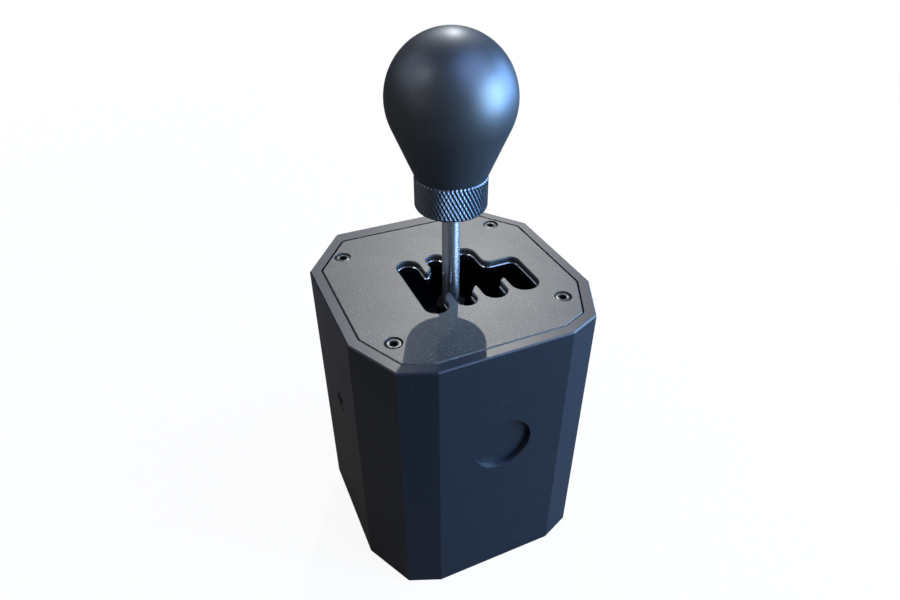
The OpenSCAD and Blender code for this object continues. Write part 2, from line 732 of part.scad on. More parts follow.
// Controller, memory, voltage regulator and clock: place on the board from the middle of its front
// edge, then size
chips = [
    [[-4, 3], [7, 7, 1]], [[6, 4], [5, 4, 1.4]], [[13, 13], [3.2, 1.6, 1.1]], [[-16, 13], [3.2, 2.5, 0.9]]
];

module controller_chips() {
    color(chip_black) translate([0, board_front_y, base_t + standoff_h + board_t])
        for (chip = chips) translate(chip[0]) cube(chip[1]);
}

module usb_socket() {
    color(steel) translate([0, usb_face_y - usb_l, usb_z]) difference() {
        linear_extrude_y(usb_l) stadium(usb_w, usb_h);
        translate([0, 1.2, 0]) linear_extrude_y(usb_l) stadium(usb_w - 0.6, usb_h - 0.6);
        translate([0, 1.2, 0]) linear_extrude_y(usb_l) stadium(usb_w - 0.6, usb_h - 0.6);
    }
    color(chip_black) translate([-3.3, usb_face_y - usb_l + 1, usb_z - 0.35]) cube([6.6, usb_l - 2.2, 0.7]);
}

// Flat-sided slot shape, and an upright outline extruded along +Y
module stadium(w, h) {
    hull_w = w - h;
    square([hull_w, h], center = true);
    for (x = [-hull_w / 2, hull_w / 2]) translate([x, 0]) circle(d = h, $fn = 32);
}

module linear_extrude_y(length) {
    rotate([90, 0, 0]) mirror([0, 0, 1]) linear_extrude(length) children();
}

ribbon_x = -16;
ribbon_w = 10;
connector = [12, 5, 5];
sensor_connector_y = -lever_ahead + pillar_y / 2 + detent_margin - connector[1] - 1;

module ribbon_connectors() {
    color(chip_black) {
        translate([ribbon_x - connector[0] / 2, sensor_connector_y, sensor_z - connector[2]]) cube(connector);
        translate([ribbon_x - connector[0] / 2, board_front_y + 1, base_t + standoff_h + board_t])
            cube([connector[0], connector[1], connector[2] / 2]);
    }
}

module ribbon_cable() {
    z_high = sensor_z - connector[2];
    z_low = base_t + standoff_h + board_t + connector[2] / 2;
    thick = 0.8;
    y_a = sensor_connector_y + connector[1] / 2;
    y_b = board_front_y + 1 + connector[1] / 2;
    color(gate_grey) translate([ribbon_x - ribbon_w / 2, 0, 0]) rotate([90, 0, 90]) linear_extrude(ribbon_w)
        polygon([
            [y_a - thick / 2, z_high], [y_a - thick / 2, z_high - 2], [y_b - thick / 2, z_low + 1],
            [y_b - thick / 2, z_low], [y_b + thick / 2, z_low], [y_b + thick / 2, z_low + 1.4],
            [y_a + thick / 2, z_high - 1.6], [y_a + thick / 2, z_high]
        ]);
}

// CROSS

trunnion_in = shaft_d / 2 + 1.5;
spring_start = arm_out + 1.3;
spring_turns = 3.5;
spring_end = spring_start + spring_turns * coil_pitch;
anchor_y = spring_end + coil_wire / 2 + 0.6;
anchor_t = 2;
ring_w = 3;
clip_t = 0.8;
clip_groove_d = trunnion_d - 0.8;
trunnion_out = anchor_y + anchor_t + clip_t + 1;
tab_w = 2 * coil_r - coil_wire - 0.2;
tab_t = 3;
fork_tab_z = coil_r + coil_wire / 2 + 3.3;
anchor_tab_z = norm([tab_w / 2, fork_tab_z + tab_t]) + 0.4;
leg_z = anchor_tab_z + tab_t + 0.4;

module cross_block() {
    edge_r = 3;
    half = [cross_l / 2, cross_w / 2];
    color(black) at_pivot() difference() {
        translate([0, 0, -cross_w / 2]) linear_extrude(cross_w)
            polygon(rounded([for (s = [[-1, -1], [1, -1], [1, 1], [-1, 1]])
                [s[0] * half[0], s[1] * half[1], edge_r]]));
        translate([-cross_l / 2 - cut, 0, 0]) along_x() cylinder(d = shaft_d + 1, h = cross_l + 2 * cut);
        for (side = [0, 180]) rotate([0, 0, side]) translate([cross_l / 2 - cross_brg_w, 0, 0])
            along_x() cylinder(d = cross_brg_d + 2 * fit, h = cross_brg_w + cut);
        for (side = [0, 180]) rotate([0, 0, side]) translate([0, trunnion_in - 0.5, 0])
            along_y() cylinder(d = trunnion_d + 2 * fit, h = cross_w);
    }
}

module cross_bearings() {
    at_pivot() for (side = [0, 180]) rotate([0, 0, side]) translate([cross_l / 2 - cross_brg_w, 0, 0])
        along_x() bearing(shaft_d + 2 * run, cross_brg_d, cross_brg_w);
}

module trunnion_pins() {
    color(steel) at_pivot() for (side = [0, 180]) rotate([0, 0, side]) difference() {
        translate([0, trunnion_in, 0]) along_y() cylinder(d = trunnion_d, h = trunnion_out - trunnion_in);
        translate([0, anchor_y + anchor_t, 0]) along_y() difference() {
            cylinder(d = trunnion_d + cut, h = clip_t);
            translate([0, 0, -cut]) cylinder(d = clip_groove_d, h = clip_t + 2 * cut);
        }
    }
}

module spring_anchors() {
    color(dark_steel) at_pivot() for (side = [0, 180]) rotate([0, 0, side]) {
        translate([0, anchor_y, 0]) difference() {
            union() {
                along_y() cylinder(d = trunnion_d + 2 * ring_w, h = anchor_t);
                translate([-tab_w / 2, 0, 0]) cube([tab_w, anchor_t, anchor_tab_z + tab_t]);
            }
            translate([0, -cut, 0]) along_y() cylinder(d = trunnion_d + 2 * fit, h = anchor_t + 2 * cut);
        }
        translate([-tab_w / 2, arm_out + 0.6, anchor_tab_z]) cube([tab_w, anchor_y - arm_out, tab_t]);
    }
}

module trunnion_circlips() {
    color(dark_steel) at_pivot() for (side = [0, 180]) rotate([0, 0, side])
        translate([0, anchor_y + anchor_t, 0]) along_y() difference() {
            cylinder(d = trunnion_d + 3, h = clip_t);
            translate([0, 0, -cut]) cylinder(d = clip_groove_d + 2 * fit, h = clip_t + 2 * cut);
            // Open mouth of the clip
            translate([-1, 0, -cut]) cube([2, trunnion_d, clip_t + 2 * cut]);
        }
}

// LEVER

plunger_shoulder = tip_r - nose_d / 2 - 3;
tail_end = -plunger_shoulder;
plunger_body_l = 6;
spring_top = tail_end + 18;
magnet_z = tail_end + 4;

module lever_fork() {
    tail_start = -bridge_in;
    color(black) at_pivot() difference() {
        union() {
            // Two arms with rounded ends, joined by an upper and a lower bridge
            for (side = [0, 180]) rotate([0, 0, side])
                translate([-arm_w / 2, fork_gap / 2, -bridge_in - lower_bridge_t])
                    cube([arm_w, arm_t, 2 * bridge_in + lower_bridge_t + bridge_t]);
            translate([-arm_w / 2, -arm_out, bridge_in]) cube([arm_w, 2 * arm_out, bridge_t]);
            translate([-arm_w / 2, -arm_out, -bridge_in - lower_bridge_t])
                cube([arm_w, 2 * arm_out, lower_bridge_t]);
            translate([0, 0, bridge_in]) cylinder(d = boss_d, h = bridge_t + boss_h);
            translate([0, 0, tail_end]) cylinder(d = tail_d, h = tail_start - tail_end);
            // Tabs that the centring springs hold between their legs
            for (side = [0, 180]) rotate([0, 0, side]) translate([-tab_w / 2, arm_out - cut, fork_tab_z])
                cube([tab_w, anchor_y - 0.4 - arm_out + cut, tab_t]);
        }
        // Rod, bearing seats and plunger bore
        translate([0, 0, bridge_in - cut]) cylinder(d = rod_d + 2 * fit, h = bridge_t + boss_h + 2 * cut);
        for (side = [0, 180]) rotate([0, 0, side]) {
            translate([0, fork_gap / 2 - cut, 0]) along_y() cylinder(d = trunnion_d + 3, h = arm_t + 2 * cut);
            translate([0, fork_gap / 2 + arm_lip, 0]) along_y()
                cylinder(d = fork_brg_d + 2 * fit, h = fork_brg_w + cut);
        }
        translate([0, 0, tail_end - cut]) cylinder(d = plunger_d + 2 * run, h = spring_top - tail_end + cut);
    }
}

module fork_bearings() {
    at_pivot() for (side = [0, 180]) rotate([0, 0, side]) translate([0, fork_gap / 2 + arm_lip, 0])
        along_y() bearing(trunnion_d + 2 * run, fork_brg_d, fork_brg_w);
}

// Torsion spring round the trunnion, its two legs straight up on both sides of the tabs
function coil_points(steps) =
    let (n = round(spring_turns * steps))
    concat([[-coil_r, spring_start, leg_z], [-coil_r, spring_start, leg_z / 2]],
           [for (i = [0 : n]) let (a = 180 + spring_turns * 360 * i / n)
               [coil_r * cos(a), spring_start + (spring_end - spring_start) * i / n, coil_r * sin(a)]],
           [[coil_r, spring_end, leg_z / 2], [coil_r, spring_end, leg_z]]);

module centring_springs() {
    color(steel) at_pivot() for (side = [0, 180]) rotate([0, 0, side])
        wire(coil_points(16), coil_wire, [0, 1, 0]);
}

module lever_rod() {
    low = pivot_z + bridge_in + 1;
    thread_l = knob_z + insert_l - 1;
    color(steel) translate([0, -lever_ahead, low]) cylinder(d = rod_d, h = thread_l - low);
}

module rod_lock_nut() {
    color(dark_steel) at_pivot() translate([0, 0, boss_top]) difference() {
        cylinder(d = nut_af / cos(30), h = nut_h, $fn = 6);
        translate([0, 0, -cut]) cylinder(d = rod_d + 2 * fit, h = nut_h + 2 * cut);
    }
}

module knob_collar() {
    r = collar_d / 2;
    c = collar_chamfer;
    color(black) translate([0, -lever_ahead, collar_z]) rotate_extrude()
        polygon([
            [rod_d / 2 + fit, 0], [r - c, 0], [r, c], [r, collar_h - c], [r - c, collar_h],
            [rod_d / 2 + fit, collar_h]
        ]);
}

insert_d = 12;
insert_l = 22;

module knob_insert() {
    color(brass) translate([0, -lever_ahead, knob_z]) difference() {
        cylinder(d = insert_d, h = insert_l);
        translate([0, 0, -cut]) cylinder(d = rod_d + 2 * fit, h = insert_l + 2 * cut);
    }
}

// A ball with a cone that meets it without a crease
module shift_knob() {
    r = knob_d / 2;
    foot = knob_foot_d / 2;
    centre = knob_h - r;
    reach = norm([foot, centre]);
    tangent = sqrt(reach * reach - r * r);
    lean = atan2(centre, -foot) - asin(r / reach);
    touch = [foot + tangent * cos(lean), tangent * sin(lean)];
    color(knob_black) translate([0, -lever_ahead, knob_z]) difference() {
        union() {
            cylinder(r1 = foot, r2 = touch[0], h = touch[1], $fn = 96);
            translate([0, 0, centre]) sphere(r = r, $fn = 96);
        }
        translate([0, 0, -cut]) cylinder(d = insert_d + 2 * fit, h = insert_l + cut + fit);
    }
}

// DETENT

plunger_top = tail_end + plunger_body_l;
detent_r = plunger_d / 2 - detent_wire / 2 - 0.25;

function detent_points(steps) =
    let (low = plunger_top + detent_wire / 2 + 0.05, high = spring_top - detent_wire / 2 - 0.05,
         turns = (high - low) / detent_pitch, n = round(turns * steps))
    [for (i = [0 : n]) let (a = 360 * turns * i / n)
        [detent_r * cos(a), detent_r * sin(a), low + (high - low) * i / n]];

module detent_spring() {
    color(steel) at_pivot() wire(detent_points(14), detent_wire, [0, 0, 1]);
}

module plunger_cap() {
    color(brass) at_pivot() translate([0, 0, tail_end - cap_t]) difference() {
        cylinder(d = tail_d, h = cap_t);
        translate([0, 0, -cut]) cylinder(d = nose_d + 0.12, h = cap_t + 2 * cut);
    }
}

module sensor_magnet() {
    color(dark_steel) at_pivot() translate([0, 0, magnet_z]) difference() {
        cylinder(d = magnet_d, h = magnet_h);
        translate([0, 0, -cut]) cylinder(d = tail_d + 2 * fit, h = magnet_h + 2 * cut);
    }
}

module detent_plunger() {
    color(steel) at_pivot() {
        translate([0, 0, tail_end]) cylinder(d = plunger_d, h = plunger_body_l);
        translate([0, 0, -tip_r + nose_d / 2]) cylinder(d = nose_d, h = tip_r - nose_d / 2 - plunger_shoulder + 1);
        translate([0, 0, -tip_r + nose_d / 2]) sphere(d = nose_d, $fn = 48);
    }
}

// Least gap between neighbouring turns of the springs
echo("gap between turns, mm", centring = coil_pitch - coil_wire, detent = detent_pitch - detent_wire);

housing_shell();
gate_plate();
gate_plate_screws();
gate_guide();
gate_guide_screws();
base_plate();
base_plate_screws();
pivot_shaft();
shaft_screws();
shaft_spacers();
detent_plate();
detent_pillars();
detent_plate_screws();
sensor_board();
sensor_board_spacers();
hall_sensors();
circuit_board();
board_standoffs();
board_screws();
controller_chips();
usb_socket();
ribbon_cable();
ribbon_connectors();
cross_block();
cross_bearings();
trunnion_pins();
spring_anchors();
trunnion_circlips();
lever_fork();
fork_bearings();
centring_springs();
lever_rod();
rod_lock_nut();
knob_collar();
knob_insert();
shift_knob();
detent_spring();
plunger_cap();
sensor_magnet();
detent_plunger();
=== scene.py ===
"""Gear shifter of a driving rig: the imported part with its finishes, and a studio.

Most CAD nodes keep their shape. The socket screws, the rod, the collar, the knob and the detent
spring are modelled anew, at the CAD's sizes and places.
"""

import logging
import math
from dataclasses import dataclass
from enum import Enum
from typing import Iterable, Sequence

import bmesh
import bpy
from bmesh.types import BMEdge, BMesh, BMVert
from bpy.types import Material, Node, NodeOutputs, NodeSocket, NodeTree
from mathutils import Matrix, Vector


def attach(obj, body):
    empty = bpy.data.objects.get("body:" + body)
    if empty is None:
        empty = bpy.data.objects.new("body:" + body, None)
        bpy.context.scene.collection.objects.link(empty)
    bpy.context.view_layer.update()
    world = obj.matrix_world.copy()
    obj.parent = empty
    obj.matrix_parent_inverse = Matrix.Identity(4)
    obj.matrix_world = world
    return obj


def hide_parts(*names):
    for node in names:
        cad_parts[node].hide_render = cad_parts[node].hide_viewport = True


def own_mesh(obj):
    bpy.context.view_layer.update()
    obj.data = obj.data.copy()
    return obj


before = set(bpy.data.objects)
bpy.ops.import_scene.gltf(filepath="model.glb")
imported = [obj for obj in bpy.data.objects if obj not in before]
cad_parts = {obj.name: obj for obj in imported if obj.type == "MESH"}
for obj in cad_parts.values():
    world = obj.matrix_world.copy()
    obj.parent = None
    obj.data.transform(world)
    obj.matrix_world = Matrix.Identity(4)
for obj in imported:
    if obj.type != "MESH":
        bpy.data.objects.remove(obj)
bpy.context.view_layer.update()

Rgb = tuple[float, float, float]
Xyz = tuple[float, float, float]
Span = tuple[float, float]
Profile = list[tuple[float, float]]

MM = 0.001
HEX_SIDES = 6

# The angle from which an edge is shaded sharp, in general and on the low diamonds of the knurl
SHARP = math.radians(32)
KNURL_SHARP = math.radians(12)

# Corners nearer than this are joined, in the pieces made here and in the kept nodes
DOUBLES_GAP = 1e-6
WELD_GAP = 2e-6

log = logging.getLogger("shifter")


# Shader graphs


# The sockets of a Mix node that mix colours
MIX_INPUTS = (0, 6, 7)
MIX_OUTPUT = 2


class Graph:
    """Adds and links the nodes of one shader tree.

    Args:
        tree: The node tree of a material or of a node group.
    """

    def __init__(self, tree: NodeTree) -> None:
        """Keeps the tree that nodes are added to."""
        self.tree = tree

    def add(self, kind: str, inputs: dict | None = None, **settings: object) -> Node:
        """Adds one node.

        Args:
            kind: The node's type.
            inputs: Values or sockets, by the input's name or number.
            settings: Properties of the node.

        Returns:
            The new node.
        """
        node = self.tree.nodes.new(kind)
        for name, value in settings.items():
            setattr(node, name, value)
        for key, value in (inputs or {}).items():
            self.feed(node.inputs[key], value)
        return node

    def feed(self, socket: NodeSocket, value: object) -> None:
        """Links a socket to an input, or sets the input's own value.

        Args:
            socket: The input.
            value: A socket to link, or a plain value.
        """
        if isinstance(value, NodeSocket):
            self.tree.links.new(value, socket)
        else:
            socket.default_value = value

    def math(self, operation: str, a: object, b: object, clamp: bool = False) -> NodeSocket:
        """Adds a Math node, whose result stays between 0 and 1 if it is clamped."""
        node = self.add("ShaderNodeMath", {0: a, 1: b}, operation=operation, use_clamp=clamp)
        return node.outputs[0]

    def span(
        self, value: object, low: float, high: float, to_low: float = 0.0, to_high: float = 1.0
    ) -> NodeSocket:
        """Maps a range of values smoothly onto another.

        Args:
            value: The socket to map.
            low: The value that becomes to_low.
            high: The value that becomes to_high.
            to_low: The result at low.
            to_high: The result at high.

        Returns:
            The result's socket.
        """
        ends = {"From Min": low, "From Max": high, "To Min": to_low, "To Max": to_high}
        node = self.add(
            "ShaderNodeMapRange", {"Value": value, **ends}, interpolation_type="SMOOTHSTEP"
        )
        return node.outputs["Result"]

    def mix(self, factor: object, a: object, b: object) -> NodeSocket:
        """Mixes two colours.

        Args:
            factor: How much of the second colour shows.
            a: The first colour or socket.
            b: The second colour or socket.

        Returns:
            The mixed colour's socket.
        """
        node = self.add("ShaderNodeMix", data_type="RGBA")
        for place, value in zip(MIX_INPUTS, (factor, a, b)):
            self.feed(node.inputs[place], (*value, 1.0) if isinstance(value, tuple) else value)
        return node.outputs[MIX_OUTPUT]


class Effect(Enum):
    """Surface effects that several finishes share, each one node group."""

    GRAIN = "Blasted grain and glints"
    MARKS = "Handling marks"
    WEAR = "Edge wear"
    LINES = "Tool lines"


# The inputs of each group, None for a vector and else the value that holds if none is given
INPUTS: dict[Effect, dict[str, object]] = {
    Effect.GRAIN: {"Vector": None, "Scale": 2500.0, "Glints": 0.02},
    Effect.MARKS: {"Vector": None, "Scale": 30.0},
    Effect.WEAR: {"Vector": None, "Edge": 0.5, "Scale": 300.0},
    Effect.LINES: {"Vector": None, "Axis": None, "Scale": 4000.0},
}
OUTPUTS: dict[Effect, tuple[str, ...]] = {
    Effect.GRAIN: ("Height", "Shade", "Glint"),
    Effect.MARKS: ("Smudge", "Dust"),
    Effect.WEAR: ("Mask",),
    Effect.LINES: ("Height",),
}

# The spans of raw values over which the effects' masks fade
GRAIN_SHADE: Span = (0.3, 0.7)
GLINT_EDGE: Span = (0.2, 0.5)
SMUDGE_EDGE: Span = (0.35, 0.7)
SPECK_EDGE: Span = (0.06, 0.1)
WORN_EDGE: Span = (0.52, 0.62)
WORN_BREAKS: Span = (0.3, 0.65)

# Dust specks in a smudge's width, and the share of the places for one that hold one
SPECK_SCALE = 9.0
SPECK_SHARE = 0.06


def effect_group(effect: Effect) -> NodeTree:
    """Builds an effect's node group, once.

    Args:
        effect: The effect.

    Returns:
        Its node group.
    """
    known = bpy.data.node_groups.get(effect.value)
    if known:
        return known
    tree = bpy.data.node_groups.new(effect.value, "ShaderNodeTree")
    for name, value in INPUTS[effect].items():
        kind = "NodeSocketVector" if value is None else "NodeSocketFloat"
        socket = tree.interface.new_socket(name, in_out="INPUT", socket_type=kind)
        if value is not None:
            socket.default_value = value
    for name in OUTPUTS[effect]:
        tree.interface.new_socket(name, in_out="OUTPUT", socket_type="NodeSocketFloat")
    graph = Graph(tree)
    given = graph.add("NodeGroupInput").outputs
    results = {
        Effect.GRAIN: grain_results,
        Effect.MARKS: marks_results,
        Effect.WEAR: wear_results,
        Effect.LINES: lines_results,
    }[effect](graph, given)
    graph.add("NodeGroupOutput", dict(zip(OUTPUTS[effect], results)))
    return tree


def grain_results(graph: Graph, given: NodeOutputs) -> tuple[NodeSocket, ...]:
    """Fine blasted grain, with a mask for painted glints: a few grains to be lightened in the
    colour.

    Args:
        graph: The group's graph.
        given: The group's inputs.

    Returns:
        The height and the shade of the grain, and the mask of its painted glints.
    """
    place = {"Vector": given["Vector"], "Scale": given["Scale"]}
    noise = graph.add(
        "ShaderNodeTexNoise", {**place, "Detail": 2.0, "Roughness": 0.6}
    ).outputs["Fac"]
    cells = graph.add("ShaderNodeTexVoronoi", place).outputs
    draw = graph.add("ShaderNodeSeparateColor", {0: cells["Color"]}).outputs[0]
    chosen = graph.math("LESS_THAN", draw, given["Glints"])
    middle = graph.span(cells["Distance"], *GLINT_EDGE, 1.0, 0.0)
    return noise, graph.span(noise, *GRAIN_SHADE), graph.math("MULTIPLY", chosen, middle)


def marks_results(graph: Graph, given: NodeOutputs) -> tuple[NodeSocket, ...]:
    """Broad smudges of handling and sparse dust.

    Args:
        graph: The group's graph.
        given: The group's inputs.

    Returns:
        The smudge and the dust masks.
    """
    place = {"Vector": given["Vector"], "Scale": given["Scale"]}
    broad = graph.add(
        "ShaderNodeTexNoise", {**place, "Detail": 4.0, "Roughness": 0.6, "Distortion": 0.6}
    ).outputs["Fac"]
    fine = graph.math("MULTIPLY", given["Scale"], SPECK_SCALE)
    cells = graph.add("ShaderNodeTexVoronoi", {**place, "Scale": fine}).outputs
    draw = graph.add("ShaderNodeSeparateColor", {0: cells["Color"]}).outputs[1]
    chosen = graph.math("LESS_THAN", draw, SPECK_SHARE)
    speck = graph.span(cells["Distance"], *SPECK_EDGE, 1.0, 0.0)
    return graph.span(broad, *SMUDGE_EDGE), graph.math("MULTIPLY", chosen, speck)


def wear_results(graph: Graph, given: NodeOutputs) -> tuple[NodeSocket, ...]:
    """Rubbed edges, broken up by noise.

    Args:
        graph: The group's graph.
        given: The group's inputs.

    Returns:
        The mask of the rubbed edges.
    """
    place = {"Vector": given["Vector"], "Scale": given["Scale"]}
    noise = graph.add("ShaderNodeTexNoise", {**place, "Detail": 3.0}).outputs["Fac"]
    edge = graph.span(given["Edge"], *WORN_EDGE)
    return (graph.math("MULTIPLY", edge, graph.span(noise, *WORN_BREAKS), clamp=True),)


def lines_results(graph: Graph, given: NodeOutputs) -> tuple[NodeSocket, ...]:
    """Fine lines of turning or grinding, stacked along one axis.

    Args:
        graph: The group's graph.
        given: The group's inputs.

    Returns:
        The height of the lines.
    """
    along = graph.add(
        "ShaderNodeVectorMath", {0: given["Vector"], 1: given["Axis"]}, operation="DOT_PRODUCT"
    ).outputs["Value"]
    place = graph.math("MULTIPLY", along, given["Scale"])
    noise = graph.add(
        "ShaderNodeTexNoise", {"W": place, "Scale": 1.0, "Detail": 3.0}, noise_dimensions="1D"
    )
    return (noise.outputs["Fac"],)


# Finishes


COAT_ROUGHNESS = 0.25
DUST_COLOUR: Rgb = (0.55, 0.54, 0.52)

# A painted glint's colour: a grey, plus so many times the finish's colour
GLINT_GREY = 0.12
GLINT_GAIN = 4

# Quarter turn that lays the streak of a turned rod along it
STREAK_TURN = 0.25


@dataclass(frozen=True)
class Grain:
    """Blasted or moulded grain.

    Attributes:
        scale: Grains per metre.
        depth: Depth in metres.
        glints: Share of grains lightened as painted glints.
        shade: How far the colour goes up and down with the grain.
    """

    scale: float = 2500.0
    depth: float = 10e-6
    glints: float = 0.0
    shade: float = 0.2


@dataclass(frozen=True)
class Lines:
    """Tool lines.

    Attributes:
        axis: The axis that they are stacked along.
        scale: Lines per metre.
        depth: Depth in metres.
    """

    axis: Xyz
    scale: float
    depth: float


@dataclass(frozen=True)
class Finish:
    """One material of the shifter.

    Attributes:
        name: The material's name.
        slot: The record's material slot; not used.
        colour: The colour between marks.
        roughness: The roughness between marks.
        metallic: How metallic it is.
        specular: The strength of a non-metal's reflection.
        coat: The weight of a clear coat.
        grazing: The tint of what it reflects at a low angle.
        streak: How far its highlight is drawn out along a turned piece.
        grain: Its grain.
        lines: Its tool lines, if it has any.
        smudge: How far smudges change its roughness.
        dust: How well dust shows.
        wear: How well rubbed edges show.
        worn: The colour of a rubbed edge.
    """

    name: str
    slot: str
    colour: Rgb
    roughness: float
    metallic: float = 0.0
    specular: float = 0.5
    coat: float = 0.0
    grazing: Rgb = (1.0, 1.0, 1.0)
    streak: float = 0.0
    grain: Grain = Grain()
    lines: Lines | None = None
    smudge: float = 0.06
    dust: float = 0.0
    wear: float = 0.0
    worn: Rgb = (0.2, 0.21, 0.22)

    def material(self) -> Material:
        """Builds the material, once.

        Returns:
            The material.
        """
        known = bpy.data.materials.get(self.name)
        if known:
            return known
        made = bpy.data.materials.new(self.name)
        made.use_nodes = True
        graph = Graph(made.node_tree)
        shader = made.node_tree.nodes["Principled BSDF"].inputs
        shader["Metallic"].default_value = self.metallic
        shader["Specular IOR Level"].default_value = self.specular
        shader["Specular Tint"].default_value = (*self.grazing, 1.0)
        shader["Coat Weight"].default_value = self.coat
        shader["Coat Roughness"].default_value = COAT_ROUGHNESS
        if self.streak:
            shader["Anisotropic"].default_value = self.streak
            shader["Anisotropic Rotation"].default_value = STREAK_TURN
            round_z = graph.add("ShaderNodeTangent", direction_type="RADIAL", axis="Z")
            graph.feed(shader["Tangent"], round_z.outputs[0])
        place = graph.add("ShaderNodeTexCoord").outputs["Object"]
        size = {"Scale": self.grain.scale, "Glints": self.grain.glints}
        grain = self.effect(graph, Effect.GRAIN, {"Vector": place, **size})
        marks = self.effect(graph, Effect.MARKS, {"Vector": place})
        graph.feed(shader["Base Color"], self.tone(graph, place, grain, marks["Dust"]))
        rough = graph.math("MULTIPLY", marks["Smudge"], self.smudge)
        rough = graph.math("ADD", rough, self.roughness - self.smudge / 2, clamp=True)
        graph.feed(shader["Roughness"], rough)
        graph.feed(shader["Normal"], self.relief(graph, place, grain["Height"]))
        return made

    def tone(
        self, graph: Graph, place: NodeSocket, grain: NodeOutputs, dust: NodeSocket
    ) -> NodeSocket:
        """Builds the colour: grain, painted glints, rubbed edges and dust.

        Args:
            graph: The material's graph.
            place: The point on the object.
            grain: The outputs of the grain's group.
            dust: The mask of the dust.

        Returns:
            The colour's socket.
        """
        dark = tuple(c * (1 - self.grain.shade) for c in self.colour)
        light = tuple(c * (1 + self.grain.shade) for c in self.colour)
        colour = graph.mix(grain["Shade"], dark, light)
        # Painted glints: a few grains are lightened towards a pale colour, a painted sparkle of
        # light
        if self.grain.glints:
            glint = tuple(min(1.0, GLINT_GREY + GLINT_GAIN * c) for c in self.colour)
            colour = graph.mix(grain["Glint"], colour, glint)
        if self.wear:
            edge = graph.add("ShaderNodeNewGeometry").outputs["Pointiness"]
            worn = self.effect(graph, Effect.WEAR, {"Vector": place, "Edge": edge})["Mask"]
            colour = graph.mix(graph.math("MULTIPLY", worn, self.wear), colour, self.worn)
        if self.dust:
            dust = graph.math("MULTIPLY", dust, self.dust)
            colour = graph.mix(dust, colour, DUST_COLOUR)
        return colour

    def relief(self, graph: Graph, place: NodeSocket, height: NodeSocket) -> NodeSocket:
        """Builds the normal: grain with the tool lines over it.

        Args:
            graph: The material's graph.
            place: The point on the object.
            height: The height of the grain.

        Returns:
            The normal's socket.
        """
        bump = graph.add("ShaderNodeBump", {"Height": height, "Distance": self.grain.depth})
        if not self.lines:
            return bump.outputs[0]
        size = {"Axis": self.lines.axis, "Scale": self.lines.scale}
        lines = self.effect(graph, Effect.LINES, {"Vector": place, **size})
        over = {"Distance": self.lines.depth, "Normal": bump.outputs[0]}
        return graph.add("ShaderNodeBump", {"Height": lines["Height"], **over}).outputs[0]

    @staticmethod
    def effect(graph: Graph, effect: Effect, inputs: dict[str, object]) -> NodeOutputs:
        """Places an effect's group in a material and gives the group's outputs."""
        return graph.add("ShaderNodeGroup", inputs, node_tree=effect_group(effect)).outputs


ANODISED = Finish(
    "black_anodised_housing", "black_anodised", (0.010, 0.015, 0.025), roughness=0.42,
    specular=0.58, grain=Grain(2600.0, 8e-6, glints=0.004, shade=0.22), smudge=0.03, dust=0.12,
)
GATE_ANODISED = Finish(
    "black_anodised_gate", "gate_anodised", (0.040, 0.042, 0.040), roughness=0.47, specular=0.78,
    grain=Grain(2100.0, 60e-6, glints=0.07, shade=0.7), smudge=0.03, dust=0.15,
)
COLLAR_ANODISED = Finish(
    "black_anodised_collar", "black_anodised", (0.15, 0.175, 0.215), roughness=0.38, metallic=0.9,
    grain=Grain(4000.0, 3e-6), smudge=0.03,
)
LEVER_ANODISED = Finish(
    "black_anodised_lever", "black_anodised", (0.014, 0.015, 0.017), roughness=0.6, specular=0.12,
    grain=Grain(2600.0, 6e-6),
)
KNOB_SATIN = Finish(
    "satin_black_knob", "knob_satin", (0.125, 0.137, 0.155), roughness=0.44, metallic=0.85,
    grazing=(0.5, 0.5, 0.5), grain=Grain(5200.0, 3e-6, shade=0.15), smudge=0.03,
)
ROD_STEEL = Finish(
    "ground_steel_rod", "bare_steel", (0.84, 0.86, 0.89), roughness=0.26, metallic=1.0,
    streak=0.85, grain=Grain(900.0, 1e-6, shade=0.06), lines=Lines((0.7, 0.7, 0.02), 4000.0, 4e-6),
    smudge=0.03,
)
BARE_STEEL = Finish(
    "ground_steel", "bare_steel", (0.55, 0.57, 0.60), roughness=0.26, metallic=1.0,
    grain=Grain(3000.0, 2e-6), lines=Lines((1.0, 0.2, 0.1), 7000.0, 2e-6), smudge=0.1,
)
SCREW_STEEL = Finish(
    "blackened_steel_screws", "black_steel", (0.035, 0.036, 0.040), roughness=0.30, metallic=0.6,
    grain=Grain(4000.0, 5e-6, shade=0.3), wear=0.7, worn=(0.16, 0.165, 0.17),
)
BLACK_STEEL = Finish(
    "blackened_steel", "black_steel", (0.022, 0.023, 0.026), roughness=0.36, metallic=0.6,
    grain=Grain(4000.0, 4e-6, shade=0.3),
)
BLACK_OXIDE = Finish(
    "black_oxide_nut", "black_steel", (0.006, 0.006, 0.007), roughness=0.9, specular=0.03,
    grain=Grain(4000.0, 4e-6, shade=0.3),
)
SPRING_STEEL = Finish(
    "drawn_spring_wire", "spring_steel", (0.42, 0.43, 0.45), roughness=0.28, metallic=1.0,
    grain=Grain(3500.0, 2e-6), smudge=0.12,
)
ALUMINIUM = Finish(
    "machined_aluminium", "raw_aluminium", (0.66, 0.67, 0.69), roughness=0.34, metallic=1.0,
    grain=Grain(2600.0, 3e-6), lines=Lines((0.7, 0.7, 0.15), 3600.0, 3e-6), smudge=0.12,
)
GATE_STEEL = Finish(
    "burnished_gate_steel", "gate_steel", (0.34, 0.35, 0.37), roughness=0.24, metallic=1.0,
    grain=Grain(2600.0, 2e-6), lines=Lines((0.6, 0.8, 0.1), 4200.0, 2e-6), smudge=0.1,
)
BLACK_ACETAL = Finish(
    "black_acetal", "black_acetal", (0.012, 0.012, 0.014), roughness=0.36,
    grain=Grain(1500.0, 4e-6, shade=0.1),
)
BRASS = Finish(
    "turned_brass", "brass", (0.72, 0.55, 0.26), roughness=0.28, metallic=1.0,
    grain=Grain(2600.0, 2e-6), lines=Lines((0.0, 0.0, 1.0), 5000.0, 4e-6), smudge=0.12,
)
